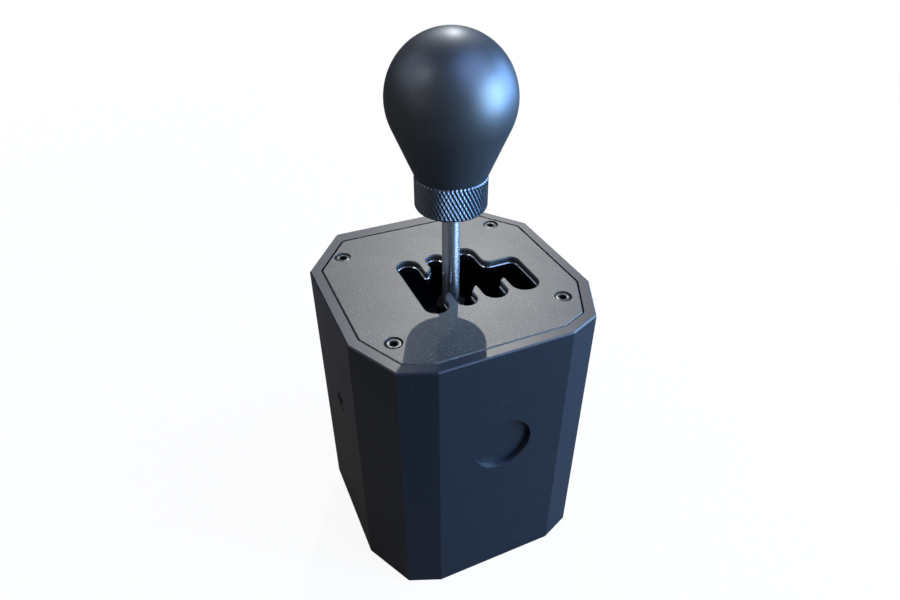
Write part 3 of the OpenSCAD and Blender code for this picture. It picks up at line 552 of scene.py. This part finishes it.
BOARD = Finish(
    "green_solder_mask", "board_green", (0.02, 0.13, 0.06), roughness=0.3, coat=0.3,
    grain=Grain(700.0, 4e-6, shade=0.25),
)
CHIP = Finish(
    "moulded_black_package", "chip_black", (0.022, 0.022, 0.025), roughness=0.5,
    grain=Grain(6000.0, 6e-6, glints=0.01, shade=0.3),
)
MAGNET = Finish(
    "nickel_plated_magnet", "magnet_grey", (0.45, 0.44, 0.43), roughness=0.2, metallic=1.0,
    grain=Grain(1800.0, 3e-6),
)
CABLE = Finish(
    "flat_cable_jacket", "cable_grey", (0.24, 0.24, 0.26), roughness=0.45,
    grain=Grain(3000.0, 3e-6), lines=Lines((1.0, 0.0, 0.0), 800.0, 40e-6),
)


# Modelling


def only(items: Iterable[object], kind: type) -> list:
    """Lists the items of one kind, in order."""
    return [item for item in items if isinstance(item, kind)]


def edges_at(verts: Iterable[BMVert]) -> list[BMEdge]:
    """Lists the edges at some vertices, each once and in order."""
    return list(dict.fromkeys(edge for vert in verts for edge in vert.link_edges))


def verts_of(edges: Iterable[BMEdge]) -> list[BMVert]:
    """Lists the vertices of some edges, each once and in order."""
    return list(dict.fromkeys(vert for edge in edges for vert in edge.verts))


def circle_edges(bm: BMesh, sides: int, radius: float, place: Matrix) -> list[BMEdge]:
    """Adds a circle of edges, moved and turned by a matrix."""
    made = bmesh.ops.create_circle(bm, cap_ends=False, segments=sides, radius=radius, matrix=place)
    return edges_at(made["verts"])


def ring_edges(bm: BMesh, sides: int, radius: float, z: float, turn: float = 0.0) -> list[BMEdge]:
    """Adds a level ring of edges about the Z axis, turned by an angle in radians."""
    place = Matrix.Translation((0, 0, z)) @ Matrix.Rotation(turn, 4, "Z")
    return circle_edges(bm, sides, radius, place)


def grown_ring(bm: BMesh, edges: Sequence[BMEdge], scale: float, rise: float) -> list[BMEdge]:
    """Extrudes a ring of edges, and scales and lifts the new ring about the Z axis.

    Args:
        bm: The mesh.
        edges: The ring.
        scale: The new ring's size beside the old one's.
        rise: How far it is lifted.

    Returns:
        The new ring's edges.
    """
    grown = bmesh.ops.extrude_edge_only(bm, edges=list(edges))["geom"]
    verts = only(grown, BMVert)
    bmesh.ops.scale(bm, vec=(scale, scale, 1), verts=verts)
    bmesh.ops.translate(bm, vec=(0, 0, rise), verts=verts)
    return only(grown, BMEdge)


def turned(profile: Profile, sides: int) -> BMesh:
    """Turns a profile about the Z axis.

    Args:
        profile: Its points as radius and height, from one end on the axis to the other.
        sides: How many sides the turned shape has.

    Returns:
        The closed mesh.
    """
    bm = bmesh.new()
    verts = [bm.verts.new((radius, 0.0, z)) for radius, z in profile]
    edges = [bm.edges.new(pair) for pair in zip(verts, verts[1:])]
    bmesh.ops.spin(
        bm, geom=[*verts, *edges], cent=(0, 0, 0), axis=(0, 0, 1), angle=math.tau,
        steps=sides, use_merge=True,
    )
    return bm


def arc(radius: float, z: float, bend: float, start: float, end: float, steps: int) -> Profile:
    """Points of an arc in a turned profile.

    Args:
        radius: The arc centre's distance from the axis.
        z: The arc centre's height.
        bend: The arc's own radius.
        start: Its first angle from the horizontal, in degrees.
        end: Its last angle.
        steps: How many pieces it has.

    Returns:
        The points.
    """
    angles = [math.radians(start + (end - start) * i / steps) for i in range(steps + 1)]
    return [(radius + bend * math.cos(a), z + bend * math.sin(a)) for a in angles]


def piece(
    bm: BMesh, name: str, body: str, finish: Finish, nodes: Sequence[str], sharp: float = SHARP
) -> bpy.types.Object:
    """Makes a finished object of a mesh, riding on a body.

    Args:
        bm: The mesh, in metres and in place. It is freed.
        name: The object's name.
        body: The CAD body that carries it.
        finish: Its material.
        nodes: The CAD nodes that it stands for.
        sharp: The angle from which an edge is shaded sharp.

    Returns:
        The object.
    """
    bmesh.ops.remove_doubles(bm, verts=bm.verts, dist=DOUBLES_GAP)
    bmesh.ops.recalc_face_normals(bm, faces=bm.faces)
    mesh = bpy.data.meshes.new(name)
    bm.to_mesh(mesh)
    bm.free()
    mesh.shade_smooth()
    mesh.set_sharp_from_angle(angle=sharp)
    mesh.materials.append(finish.material())
    made = bpy.data.objects.new(name, mesh)
    bpy.context.scene.collection.objects.link(made)
    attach(made, body)
    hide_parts(*nodes)
    log.info("%s: %d faces on %s", name, len(mesh.polygons), body)
    return made


def placed(bm: BMesh, matrices: Iterable[Matrix]) -> BMesh:
    """Copies a mesh to several places.

    Args:
        bm: The mesh, about the origin.
        matrices: The places.

    Returns:
        The mesh with a copy at each place and none at the origin.
    """
    first = [*bm.verts, *bm.edges, *bm.faces]
    for matrix in matrices:
        copy = bmesh.ops.duplicate(bm, geom=first)["geom"]
        bmesh.ops.transform(bm, matrix=matrix, verts=only(copy, BMVert))
    bmesh.ops.delete(bm, geom=only(first, BMVert), context="VERTS")
    return bm


@dataclass
class SubAssembly:
    """A group of pieces on one body.

    Attributes:
        body: The CAD body that carries them.
        kept: The CAD nodes that keep their shape, with their finishes.
        soft_edge: How wide their edges are rounded, in metres.
    """

    body: str
    kept: dict[str, Finish]
    soft_edge: float = 0.15 * MM

    def dress(self) -> None:
        """Gives each kept node its finish and eases its edges."""
        for name, finish in self.kept.items():
            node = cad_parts[name]
            for held in node.material_slots:
                held.material = finish.material()
            weld = node.modifiers.new("Weld", "WELD")
            weld.merge_threshold = WELD_GAP
            ease = node.modifiers.new("Ease", "BEVEL")
            ease.width = self.soft_edge
            ease.segments = 2
            ease.limit_method = "ANGLE"
            ease.angle_limit = SHARP
            ease.use_clamp_overlap = True
            ease.harden_normals = True
            log.info("%s keeps its shape in %s", name, finish.name)

    def build(self) -> None:
        """Builds the sub-assembly: its kept nodes, and what a subclass adds."""
        self.dress()


@dataclass(frozen=True)
class SocketScrew:
    """A socket-head screw, its head's top at z = 0 and its shank pointing down.

    Lengths are in millimetres.

    Attributes:
        shank: Width of the shank.
        head: Width of the head.
        head_h: Height of the head.
        key: Width of the hexagon socket across its flats.
        length: Length of the shank.
        mouth: How far the round mouth of the socket goes past its corners.
        mouth_h: Depth of the mouth.
        rim: Width of the head's rounded rim.
        rim_h: Height of the rim.
        middle: Distance of the rim's middle from the head's side.
        middle_h: Depth of the rim's middle below the top.
        tip: Chamfer at the end of the shank.
        drill_h: Depth of the drill's cone in the socket's floor.
        drill: Width of that cone's foot, as a share of the socket's.
        socket: Depth of the socket, as a share of the head's height.
        sides: How many sides the head has, six or a multiple of it.
    """

    shank: float
    head: float
    head_h: float
    key: float
    length: float
    mouth: float = 0.12
    mouth_h: float = 0.15
    rim: float = 0.5
    rim_h: float = 0.45
    middle: float = 0.15
    middle_h: float = 0.12
    tip: float = 0.4
    drill_h: float = 0.2
    drill: float = 0.5
    socket: float = 0.55
    sides: int = 48

    def mesh(self) -> BMesh:
        """Models the screw.

        Returns:
            Its closed mesh, in metres.
        """
        bm = bmesh.new()
        radius, root = self.head / 2, self.key / 2 / math.cos(math.pi / HEX_SIDES)
        start, middle = radius - self.rim, radius - self.middle
        mouth = ring_edges(bm, self.sides, root + self.mouth, 0.0)
        ring = grown_ring(bm, mouth, start / (root + self.mouth), 0.0)
        ring = grown_ring(bm, ring, middle / start, -self.middle_h)
        ring = grown_ring(bm, ring, radius / middle, self.middle_h - self.rim_h)
        ring = grown_ring(bm, ring, 1.0, self.rim_h - self.head_h)
        ring = grown_ring(bm, ring, self.shank / 2 / radius, 0.0)
        ring = grown_ring(bm, ring, 1.0, self.tip - self.length)
        ring = grown_ring(bm, ring, 1 - 2 * self.tip / self.shank, -self.tip)
        bmesh.ops.contextual_create(bm, geom=ring)
        hexagon = ring_edges(bm, HEX_SIDES, root, -self.mouth_h, math.pi / HEX_SIDES)
        cut = bmesh.ops.subdivide_edges(bm, edges=hexagon, cuts=self.sides // HEX_SIDES - 1)
        hexagon = edges_at(only(cut["geom_inner"], BMVert))
        bmesh.ops.bridge_loops(bm, edges=[*mouth, *hexagon])
        floor = grown_ring(bm, hexagon, 1.0, self.mouth_h - self.head_h * self.socket)
        floor = grown_ring(bm, floor, self.drill, -self.drill_h)
        bmesh.ops.contextual_create(bm, geom=floor)
        bmesh.ops.scale(bm, vec=(MM, MM, MM), verts=bm.verts)
        return bm


# The shifter's sub-assemblies


@dataclass
class Housing(SubAssembly):
    """The housing's kept nodes and its socket screws.

    Lengths are in metres.

    Attributes:
        height: Height of the housing.
        width: Width of the housing.
        pivot: The middle of the pivot.
        screw_x: Distance of the corner screws from the middle plane.
        screw_front: Place of the front pair along Y.
        screw_rear: Place of the rear pair along Y.
        plate_sink: How deep the heads of the gate plate's screws lie.
        base_sink: The same for the base plate's screws.
        shaft_sink: The same for the shaft's screws.
        plate_screw: A screw of the gate plate.
        base_screw: A screw of the base plate.
        shaft_screw: A screw of the shaft.
    """

    height: float = 141.5 * MM
    width: float = 116.0 * MM
    pivot: Xyz = (0.0, -2.0 * MM, 86.0 * MM)
    screw_x: float = 40.3 * MM
    screw_front: float = -35.0 * MM
    screw_rear: float = 36.6 * MM
    plate_sink: float = 0.4 * MM
    base_sink: float = 1.0 * MM
    shaft_sink: float = 0.5 * MM
    plate_screw: SocketScrew = SocketScrew(shank=4.0, head=7.0, head_h=4.0, key=3.0, length=11.6)
    base_screw: SocketScrew = SocketScrew(shank=4.0, head=7.0, head_h=4.0, key=3.0, length=13.0)
    shaft_screw: SocketScrew = SocketScrew(shank=5.0, head=8.5, head_h=5.0, key=4.0, length=15.0)

    def corners(self, z: float, turn: Matrix) -> list[Matrix]:
        """Places of the four corner screws.

        Args:
            z: The height of the heads' tops.
            turn: How a screw is turned.

        Returns:
            One matrix a screw.
        """
        rows = (self.screw_front, self.screw_rear)
        spots = [(side * self.screw_x, y, z) for side in (-1, 1) for y in rows]
        return [Matrix.Translation(spot) @ turn for spot in spots]

    def shaft_ends(self) -> list[Matrix]:
        """Places of the shaft's two screws.

        Returns:
            One matrix a screw.
        """
        x, (_, y, z) = self.width / 2 - self.shaft_sink, self.pivot
        return [
            Matrix.Translation((side * x, y, z)) @ Matrix.Rotation(side * math.pi / 2, 4, "Y")
            for side in (-1, 1)
        ]

    def screws(self, screw: SocketScrew, places: list[Matrix], name: str, node: str) -> None:
        """Adds one object, a screw at each place, that stands for a CAD node."""
        piece(placed(screw.mesh(), places), name, self.body, SCREW_STEEL, [node])

    def build(self) -> None:
        """Dresses the housing's nodes and builds the screws."""
        self.dress()
        up, down = Matrix.Identity(4), Matrix.Rotation(math.pi, 4, "X")
        top = self.corners(self.height - self.plate_sink, up)
        self.screws(self.plate_screw, top, "gate_plate_socket_screws", "gate_plate_screws")
        foot = self.corners(self.base_sink, down)
        self.screws(self.base_screw, foot, "base_plate_socket_screws", "base_plate_screws")
        self.screws(self.shaft_screw, self.shaft_ends(), "shaft_socket_screws", "shaft_screws")


@dataclass
class Lever(SubAssembly):
    """Rod, knurled collar, knob and detent spring, on the lever's axis.

    Lengths are in millimetres, but axis_y is in metres.

    Attributes:
        axis_y: Place of the lever's axis along Y.
        fit: Gap round the rod in the collar.
        rod_r, rod_low, rod_high, rod_chamfer, rod_sides: The rod.
        collar_r, collar_low, collar_h, collar_chamfer: The collar, over its knurl.
        knurl_depth: How far a diamond's middle stands out of the tube.
        knurl_pitch: Height of a row of diamonds.
        knurl_lines: Diamonds in a row.
        crossing_rise: How far the middle of a "/" groove is raised.
        knob_r, knob_foot_r, knob_h, knob_sides: The knob's ball and foot.
        foot_round, foot_steps: The rounding of the knob's foot.
        ball_end, ball_steps: Where the ball's arc ends, just short of the top, in degrees.
        bore_chamfer: Chamfer of the knob's bore.
        insert_r, insert_l: The bore for the insert.
        spring_low, spring_high: The ends of the detent spring.
        spring_r, spring_wire, spring_pitch: Its coil's radius, its wire's width and its pitch.
        spring_sides, spring_steps: Sides of the wire, and steps in a turn.
        plunger_travel: How far the plunger goes in; not used.
    """

    axis_y: float = -2.0 * MM
    fit: float = 0.02
    rod_r: float = 4.0
    rod_low: float = 105.0
    rod_high: float = 215.1
    rod_chamfer: float = 0.4
    rod_sides: int = 64
    collar_r: float = 15.8
    collar_low: float = 179.5
    collar_h: float = 14.6
    collar_chamfer: float = 0.8
    knurl_depth: float = 0.75
    knurl_pitch: float = 3.34
    knurl_lines: int = 56
    crossing_rise: float = 0.54
    knob_r: float = 26.4
    knob_foot_r: float = 15.5
    knob_h: float = 58.0
    knob_sides: int = 128
    foot_round: float = 0.35
    foot_steps: int = 4
    ball_end: float = 89.0
    ball_steps: int = 40
    bore_chamfer: float = 0.3
    insert_r: float = 6.02
    insert_l: float = 22.02
    spring_low: float = 48.05
    spring_high: float = 59.95
    spring_r: float = 3.3
    spring_wire: float = 0.9
    spring_pitch: float = 2.1
    spring_sides: int = 12
    spring_steps: int = 32
    plunger_travel: float = 1.5

    def seat(self, bm: BMesh, z: float) -> BMesh:
        """Scales a mesh from millimetres and sets it on the lever's axis.

        Args:
            bm: The mesh.
            z: The height of its foot, in millimetres.

        Returns:
            The same mesh.
        """
        bmesh.ops.scale(bm, vec=(MM, MM, MM), verts=bm.verts)
        bmesh.ops.translate(bm, vec=(0, self.axis_y, z * MM), verts=bm.verts)
        return bm

    def rod(self) -> None:
        """Turns the bare rod with its chamfered ends."""
        r, top, c = self.rod_r, self.rod_high - self.rod_low, self.rod_chamfer
        profile = [(0, 0), (r - c, 0), (r, c), (r, top - c), (r - c, top), (0, top)]
        bm = self.seat(turned(profile, self.rod_sides), self.rod_low)
        piece(bm, "bare_rod", self.body, ROD_STEEL, ["lever_rod"])

    @staticmethod
    def climbs(edge: BMEdge) -> bool:
        """Tells whether an edge of the knurl climbs to the right, seen from outside."""
        low, high = sorted((vert.co for vert in edge.verts), key=lambda spot: spot.z)
        return low.x * high.y - low.y * high.x > 0

    def knurl(self, bm: BMesh) -> None:
        """Adds a tube of raised diamonds, open and a row longer than the collar at each end.

        Args:
            bm: The mesh.
        """
        step, root = self.knurl_pitch, self.collar_r - self.knurl_depth
        ring = ring_edges(bm, self.knurl_lines, root, -step)
        for _ in range(math.ceil(self.collar_h / step) + 2):
            ring = grown_ring(bm, ring, 1.0, step)
        bmesh.ops.recalc_face_normals(bm, faces=bm.faces)
        inner = [edge for edge in bm.edges if len(edge.link_faces) == 2]
        bmesh.ops.poke(bm, faces=bm.faces[:])
        bmesh.ops.dissolve_edges(bm, edges=inner, use_verts=False)
        crossing = [edge for edge in bm.edges if edge.is_manifold and self.climbs(edge)]
        split = bmesh.ops.bisect_edges(bm, edges=crossing, cuts=1)["geom_split"]
        middles = only(split, BMVert)
        bmesh.ops.poke(bm, faces=bm.faces[:], offset=self.knurl_depth)
        grown = 1 + self.crossing_rise / root
        bmesh.ops.scale(bm, vec=(grown, grown, 1), verts=middles)

    def collar(self) -> None:
        """Builds the collar: a knurl over its height, cut back to a chamfer at each end."""
        bm = bmesh.new()
        self.knurl(bm)
        c, end_r, ends = self.collar_chamfer, self.collar_r - self.collar_chamfer, []
        for z, way in ((c, -1), (self.collar_h - c, 1)):
            whole = [*bm.verts, *bm.edges, *bm.faces]
            cut = bmesh.ops.bisect_plane(
                bm, geom=whole, plane_co=(0, 0, z), plane_no=(0, 0, way), clear_outer=True
            )
            rim = grown_ring(bm, only(cut["geom_cut"], BMEdge), 1.0, way * c)
            for vert in verts_of(rim):
                vert.co.xy = vert.co.xy.normalized() * end_r
            ends += grown_ring(bm, rim, (self.rod_r + self.fit) / end_r, 0.0)
        bmesh.ops.bridge_loops(bm, edges=ends)
        bm = self.seat(bm, self.collar_low)
        piece(bm, "knurled_collar", self.body, COLLAR_ANODISED, ["knob_collar"], KNURL_SHARP)

    def knob(self) -> None:
        """Turns the knob: a ball on a cone that meets it without a crease, with its bore."""
        r, foot, centre = self.knob_r, self.knob_foot_r, self.knob_h - self.knob_r
        lean = math.atan2(centre, -foot) - math.asin(r / math.hypot(foot, centre))
        touch = math.degrees(lean) - 90
        bore, chamfer, bend = self.insert_r, self.bore_chamfer, self.foot_round
        profile = [(0, self.insert_l), (bore, self.insert_l), (bore, chamfer)]
        profile += [(bore + chamfer, 0)]
        profile += arc(foot - bend, bend, bend, -90, touch, self.foot_steps)
        profile += arc(0, centre, r, touch, self.ball_end, self.ball_steps)
        profile += [(0, centre + r)]
        bm = self.seat(turned(profile, self.knob_sides), self.collar_low + self.collar_h)
        piece(bm, "bulb_knob", self.body, KNOB_SATIN, ["shift_knob"])

    def spring(self) -> None:
        """Winds the detent spring between its seats."""
        bm = bmesh.new()
        wire = self.spring_wire / 2
        climb = self.spring_high - self.spring_low - self.spring_wire
        turns = climb / self.spring_pitch
        steps = round(turns * self.spring_steps)
        start = Matrix.Translation((self.spring_r, 0, self.spring_low + wire))
        upright = start @ Matrix.Rotation(math.pi / 2, 4, "X")
        first = circle_edges(bm, self.spring_sides, wire, upright)
        last = bmesh.ops.spin(
            bm, geom=[*verts_of(first), *first], cent=(0, 0, 0), axis=(0, 0, 1),
            dvec=(0, 0, climb / steps), angle=turns * math.tau, steps=steps,
        )["geom_last"]
        for end in (first, only(last, BMEdge)):
            bmesh.ops.contextual_create(bm, geom=end)
        bm = self.seat(bm, 0.0)
        made = piece(bm, "detent_coil_spring", self.body, SPRING_STEEL, ["detent_spring"])
        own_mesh(made)

    def build(self) -> None:
        """Dresses the lever's kept nodes and builds the pieces that replace the others."""
        self.dress()
        self.spring()
        self.rod()
        self.collar()
        self.knob()


# Studio


@dataclass(frozen=True)
class Lamp:
    """A soft area lamp, aimed at the object.

    Attributes:
        name: The lamp's name.
        azimuth: Its angle from +Y towards +X, in degrees.
        elevation: Its angle above the floor, in degrees.
        distance: Its distance from what it is aimed at, in metres.
        width: Its width in metres.
        height: Its height in metres.
        power: Its power in watts.
        colour: Its colour.
        aim: What it is aimed at.
    """

    name: str
    azimuth: float
    elevation: float
    distance: float
    width: float
    height: float
    power: float
    colour: Rgb
    aim: Xyz = (0.0, 0.0, 0.14)

    def build(self) -> None:
        """Adds the lamp to the scene."""
        data = bpy.data.lights.new(self.name, "AREA")
        data.shape, data.size, data.size_y = "RECTANGLE", self.width, self.height
        data.energy, data.color = self.power, self.colour
        lamp = bpy.data.objects.new(self.name, data)
        a, e = math.radians(self.azimuth), math.radians(self.elevation)
        way = Vector((math.sin(a) * math.cos(e), math.cos(a) * math.cos(e), math.sin(e)))
        lamp.location = Vector(self.aim) + way * self.distance
        lamp.rotation_euler = way.to_track_quat("Z", "Y").to_euler()
        bpy.context.scene.collection.objects.link(lamp)


@dataclass(frozen=True)
class Camera:
    """The photograph's camera.

    Attributes:
        place: Where it is, in metres.
        azimuth: The side that it looks from, as an angle from -Y towards +X, in degrees.
        elevation: How far it looks down, in degrees.
        roll: How far it is rolled, in degrees.
        focal: Focal length in millimetres.
        sensor: Width of the sensor in millimetres.
        shift: Shift of the picture, as shares of its width.
        clip: Nearest and farthest distance that it sees, in metres.
    """

    place: Xyz = (-0.1038, -0.23205, 0.3110)
    azimuth: float = -24.79
    elevation: float = 36.04
    roll: float = 0.469
    focal: float = 26.218
    sensor: float = 36.0
    shift: Span = (-0.0060, 0.0040)
    clip: Span = (0.01, 30.0)

    def build(self) -> None:
        """Adds the camera and makes it the scene's."""
        data = bpy.data.cameras.new("photo_camera")
        data.sensor_width, data.lens = self.sensor, self.focal
        data.shift_x, data.shift_y = self.shift
        data.clip_start, data.clip_end = self.clip
        camera = bpy.data.objects.new("photo_camera", data)
        a, e = math.radians(self.azimuth), math.radians(self.elevation)
        back = Vector((math.sin(a) * math.cos(e), -math.cos(a) * math.cos(e), math.sin(e)))
        right = Vector((0, 0, 1)).cross(back).normalized()
        turn = Matrix((right, back.cross(right), back)).transposed().to_4x4()
        roll = Matrix.Rotation(math.radians(self.roll), 4, "Z")
        camera.matrix_world = Matrix.Translation(self.place) @ turn @ roll
        bpy.context.scene.collection.objects.link(camera)
        bpy.context.scene.camera = camera


@dataclass
class Studio:
    """Pale floor, white backdrop, soft lamps and the camera.

    Attributes:
        lamps: Name, azimuth, elevation, distance, width, height, power and colour of each.
        floor_half: Half the floor's width, in metres.
        floor_roughness: The floor's roughness.
        seen_floor: The floor's tone as the camera sees it.
        felt_floor: Its tone as light and reflections meet it.
        glow: How much of what the camera sees of the floor near the object is its own white.
        fade: The distances between which that share grows to the whole, in metres.
        mirrored: How much of the floor's glow shows in reflections.
        mirrored_tint: The tint of that glow.
        ambient: Strength of the light from all round.
        air: Its colour.
        mirrored_sky: How much of the white backdrop shows in reflections.
    """

    lamps: tuple[Lamp, ...] = (
        Lamp("key_rear", 26.6, 41.8, 1.5, 0.014, 0.014, 9.6, (1.0, 0.97, 0.89)),
        Lamp("second_rear", 12.9, 37.7, 1.5, 0.01, 0.01, 0.75, (1.0, 0.98, 0.94)),
        Lamp("sky_rear", 24.0, 40.0, 1.6, 1.3, 1.0, 4.4, (0.77, 0.81, 1.0)),
        Lamp("sky_left", -58.0, 38.0, 1.6, 1.3, 1.0, 3.6, (0.72, 0.82, 1.0)),
        Lamp("front_sky", 140.0, 54.0, 1.6, 1.4, 1.2, 16.0, (0.35, 0.52, 1.0)),
        Lamp("room_right", 102.0, 12.0, 1.5, 1.6, 0.9, 50.0, (0.26, 0.50, 0.96)),
        Lamp("window_right", 132.0, 12.0, 1.3, 0.84, 0.85, 27.0, (0.44, 0.70, 0.96)),
        Lamp("ceiling", -92.0, 46.0, 1.5, 0.25, 0.25, 1.35, (1.0, 0.99, 0.96)),
        Lamp("left_bounce", -100.0, 14.0, 1.8, 0.9, 0.7, 0.9, (1.0, 0.80, 0.78)),
    )
    floor_half: float = 4.0
    floor_roughness: float = 0.8
    seen_floor: float = 0.92
    felt_floor: float = 0.06
    glow: float = 0.93
    fade: Span = (0.35, 1.1)
    mirrored: float = 0.06
    mirrored_tint: Rgb = (1.0, 0.78, 0.58)
    ambient: float = 0.035
    air: Rgb = (0.80, 0.90, 1.0)
    mirrored_sky: float = 0.08

    def floor_material(self) -> Material:
        """Builds the floor's material, which shows white and keeps the object's shadow.

        Returns:
            The material.
        """
        made = bpy.data.materials.new("pale_floor")
        made.use_nodes = True
        graph = Graph(made.node_tree)
        nodes = made.node_tree.nodes
        shader = nodes["Principled BSDF"]
        shader.inputs["Roughness"].default_value = self.floor_roughness
        rays = graph.add("ShaderNodeLightPath").outputs
        seen = rays["Is Camera Ray"]
        tone = graph.mix(seen, (self.felt_floor,) * 3, (self.seen_floor,) * 3)
        graph.feed(shader.inputs["Base Color"], tone)
        shine = graph.mix(seen, self.mirrored_tint, (1.0, 1.0, 1.0))
        glow = graph.add("ShaderNodeEmission", {"Color": shine, "Strength": 1.0})
        spot = graph.add("ShaderNodeTexCoord").outputs["Object"]
        reach = graph.add("ShaderNodeVectorMath", {0: spot}, operation="LENGTH")
        share = graph.span(reach.outputs["Value"], *self.fade, self.glow, 1.0)
        mirrored = graph.math("MULTIPLY", rays["Is Glossy Ray"], self.mirrored)
        share = graph.math("ADD", graph.math("MULTIPLY", seen, share), mirrored)
        mixed = graph.add(
            "ShaderNodeMixShader", {0: share, 1: shader.outputs[0], 2: glow.outputs[0]}
        )
        graph.feed(nodes["Material Output"].inputs["Surface"], mixed.outputs[0])
        return made

    def floor(self) -> None:
        """Adds the floor."""
        bm = bmesh.new()
        bmesh.ops.create_grid(bm, x_segments=4, y_segments=4, size=self.floor_half)
        mesh = bpy.data.meshes.new("floor")
        bm.to_mesh(mesh)
        bm.free()
        mesh.materials.append(self.floor_material())
        floor = bpy.data.objects.new("floor", mesh)
        bpy.context.scene.collection.objects.link(floor)

    def world(self) -> None:
        """Sets the soft ambient light and a white backdrop."""
        world = bpy.data.worlds.new("studio")
        bpy.context.scene.world = world
        world.use_nodes = True
        graph = Graph(world.node_tree)
        nodes = world.node_tree.nodes
        rays = graph.add("ShaderNodeLightPath").outputs
        white = {"Color": (1, 1, 1, 1), "Strength": 1.0}
        shown = graph.add("ShaderNodeBackground", white)
        lit = nodes["Background"]
        lit.inputs["Color"].default_value = (*self.air, 1.0)
        lit.inputs["Strength"].default_value = self.ambient
        share = graph.math("MULTIPLY", rays["Is Glossy Ray"], self.mirrored_sky)
        share = graph.math("ADD", share, rays["Is Camera Ray"])
        mixed = graph.add(
            "ShaderNodeMixShader", {0: share, 1: lit.outputs[0], 2: shown.outputs[0]}
        )
        graph.feed(nodes["World Output"].inputs["Surface"], mixed.outputs[0])

    def build(self) -> None:
        """Builds the studio."""
        bpy.context.scene.view_settings.view_transform = "Standard"
        self.floor()
        self.world()
        for lamp in self.lamps:
            lamp.build()
        Camera().build()


def assemblies() -> list[SubAssembly]:
    """Lists the sub-assemblies with the CAD nodes that keep their shape.

    Returns:
        The sub-assemblies.
    """
    return [
        Housing("housing", {
            "housing_shell": ANODISED,
            "gate_plate": GATE_ANODISED,
            "gate_guide": GATE_STEEL,
            "gate_guide_screws": BLACK_STEEL,
            "base_plate": ANODISED,
        }),
        SubAssembly("housing", {
            "pivot_shaft": BARE_STEEL,
            "shaft_spacers": ALUMINIUM,
            "detent_plate": BLACK_ACETAL,
            "detent_pillars": ALUMINIUM,
            "detent_plate_screws": BLACK_STEEL,
            "sensor_board_spacers": BARE_STEEL,
        }),
        SubAssembly("housing", {
            "sensor_board": BOARD,
            "hall_sensors": CHIP,
            "circuit_board": BOARD,
            "board_standoffs": BRASS,
            "board_screws": BLACK_STEEL,
            "controller_chips": CHIP,
            "usb_socket": BARE_STEEL,
            "ribbon_cable": CABLE,
            "ribbon_connectors": CHIP,
        }, soft_edge=0.08 * MM),
        SubAssembly("cross", {
            "cross_block": LEVER_ANODISED,
            "cross_bearings": BARE_STEEL,
            "trunnion_pins": BARE_STEEL,
            "spring_anchors": BLACK_STEEL,
            "trunnion_circlips": BLACK_STEEL,
        }, soft_edge=0.1 * MM),
        Lever("lever", {
            "lever_fork": LEVER_ANODISED,
            "fork_bearings": BARE_STEEL,
            "centring_springs": SPRING_STEEL,
            "rod_lock_nut": BLACK_OXIDE,
            "knob_insert": BRASS,
            "plunger_cap": BRASS,
            "sensor_magnet": MAGNET,
        }),
        SubAssembly("plunger", {"detent_plunger": BARE_STEEL}, soft_edge=0.1 * MM),
    ]


def main() -> None:
    logging.basicConfig(level=logging.INFO, format="%(name)s: %(message)s")
    Studio().build()
    for assembly in assemblies():
        assembly.build()


if __name__ == "__main__":
    main()
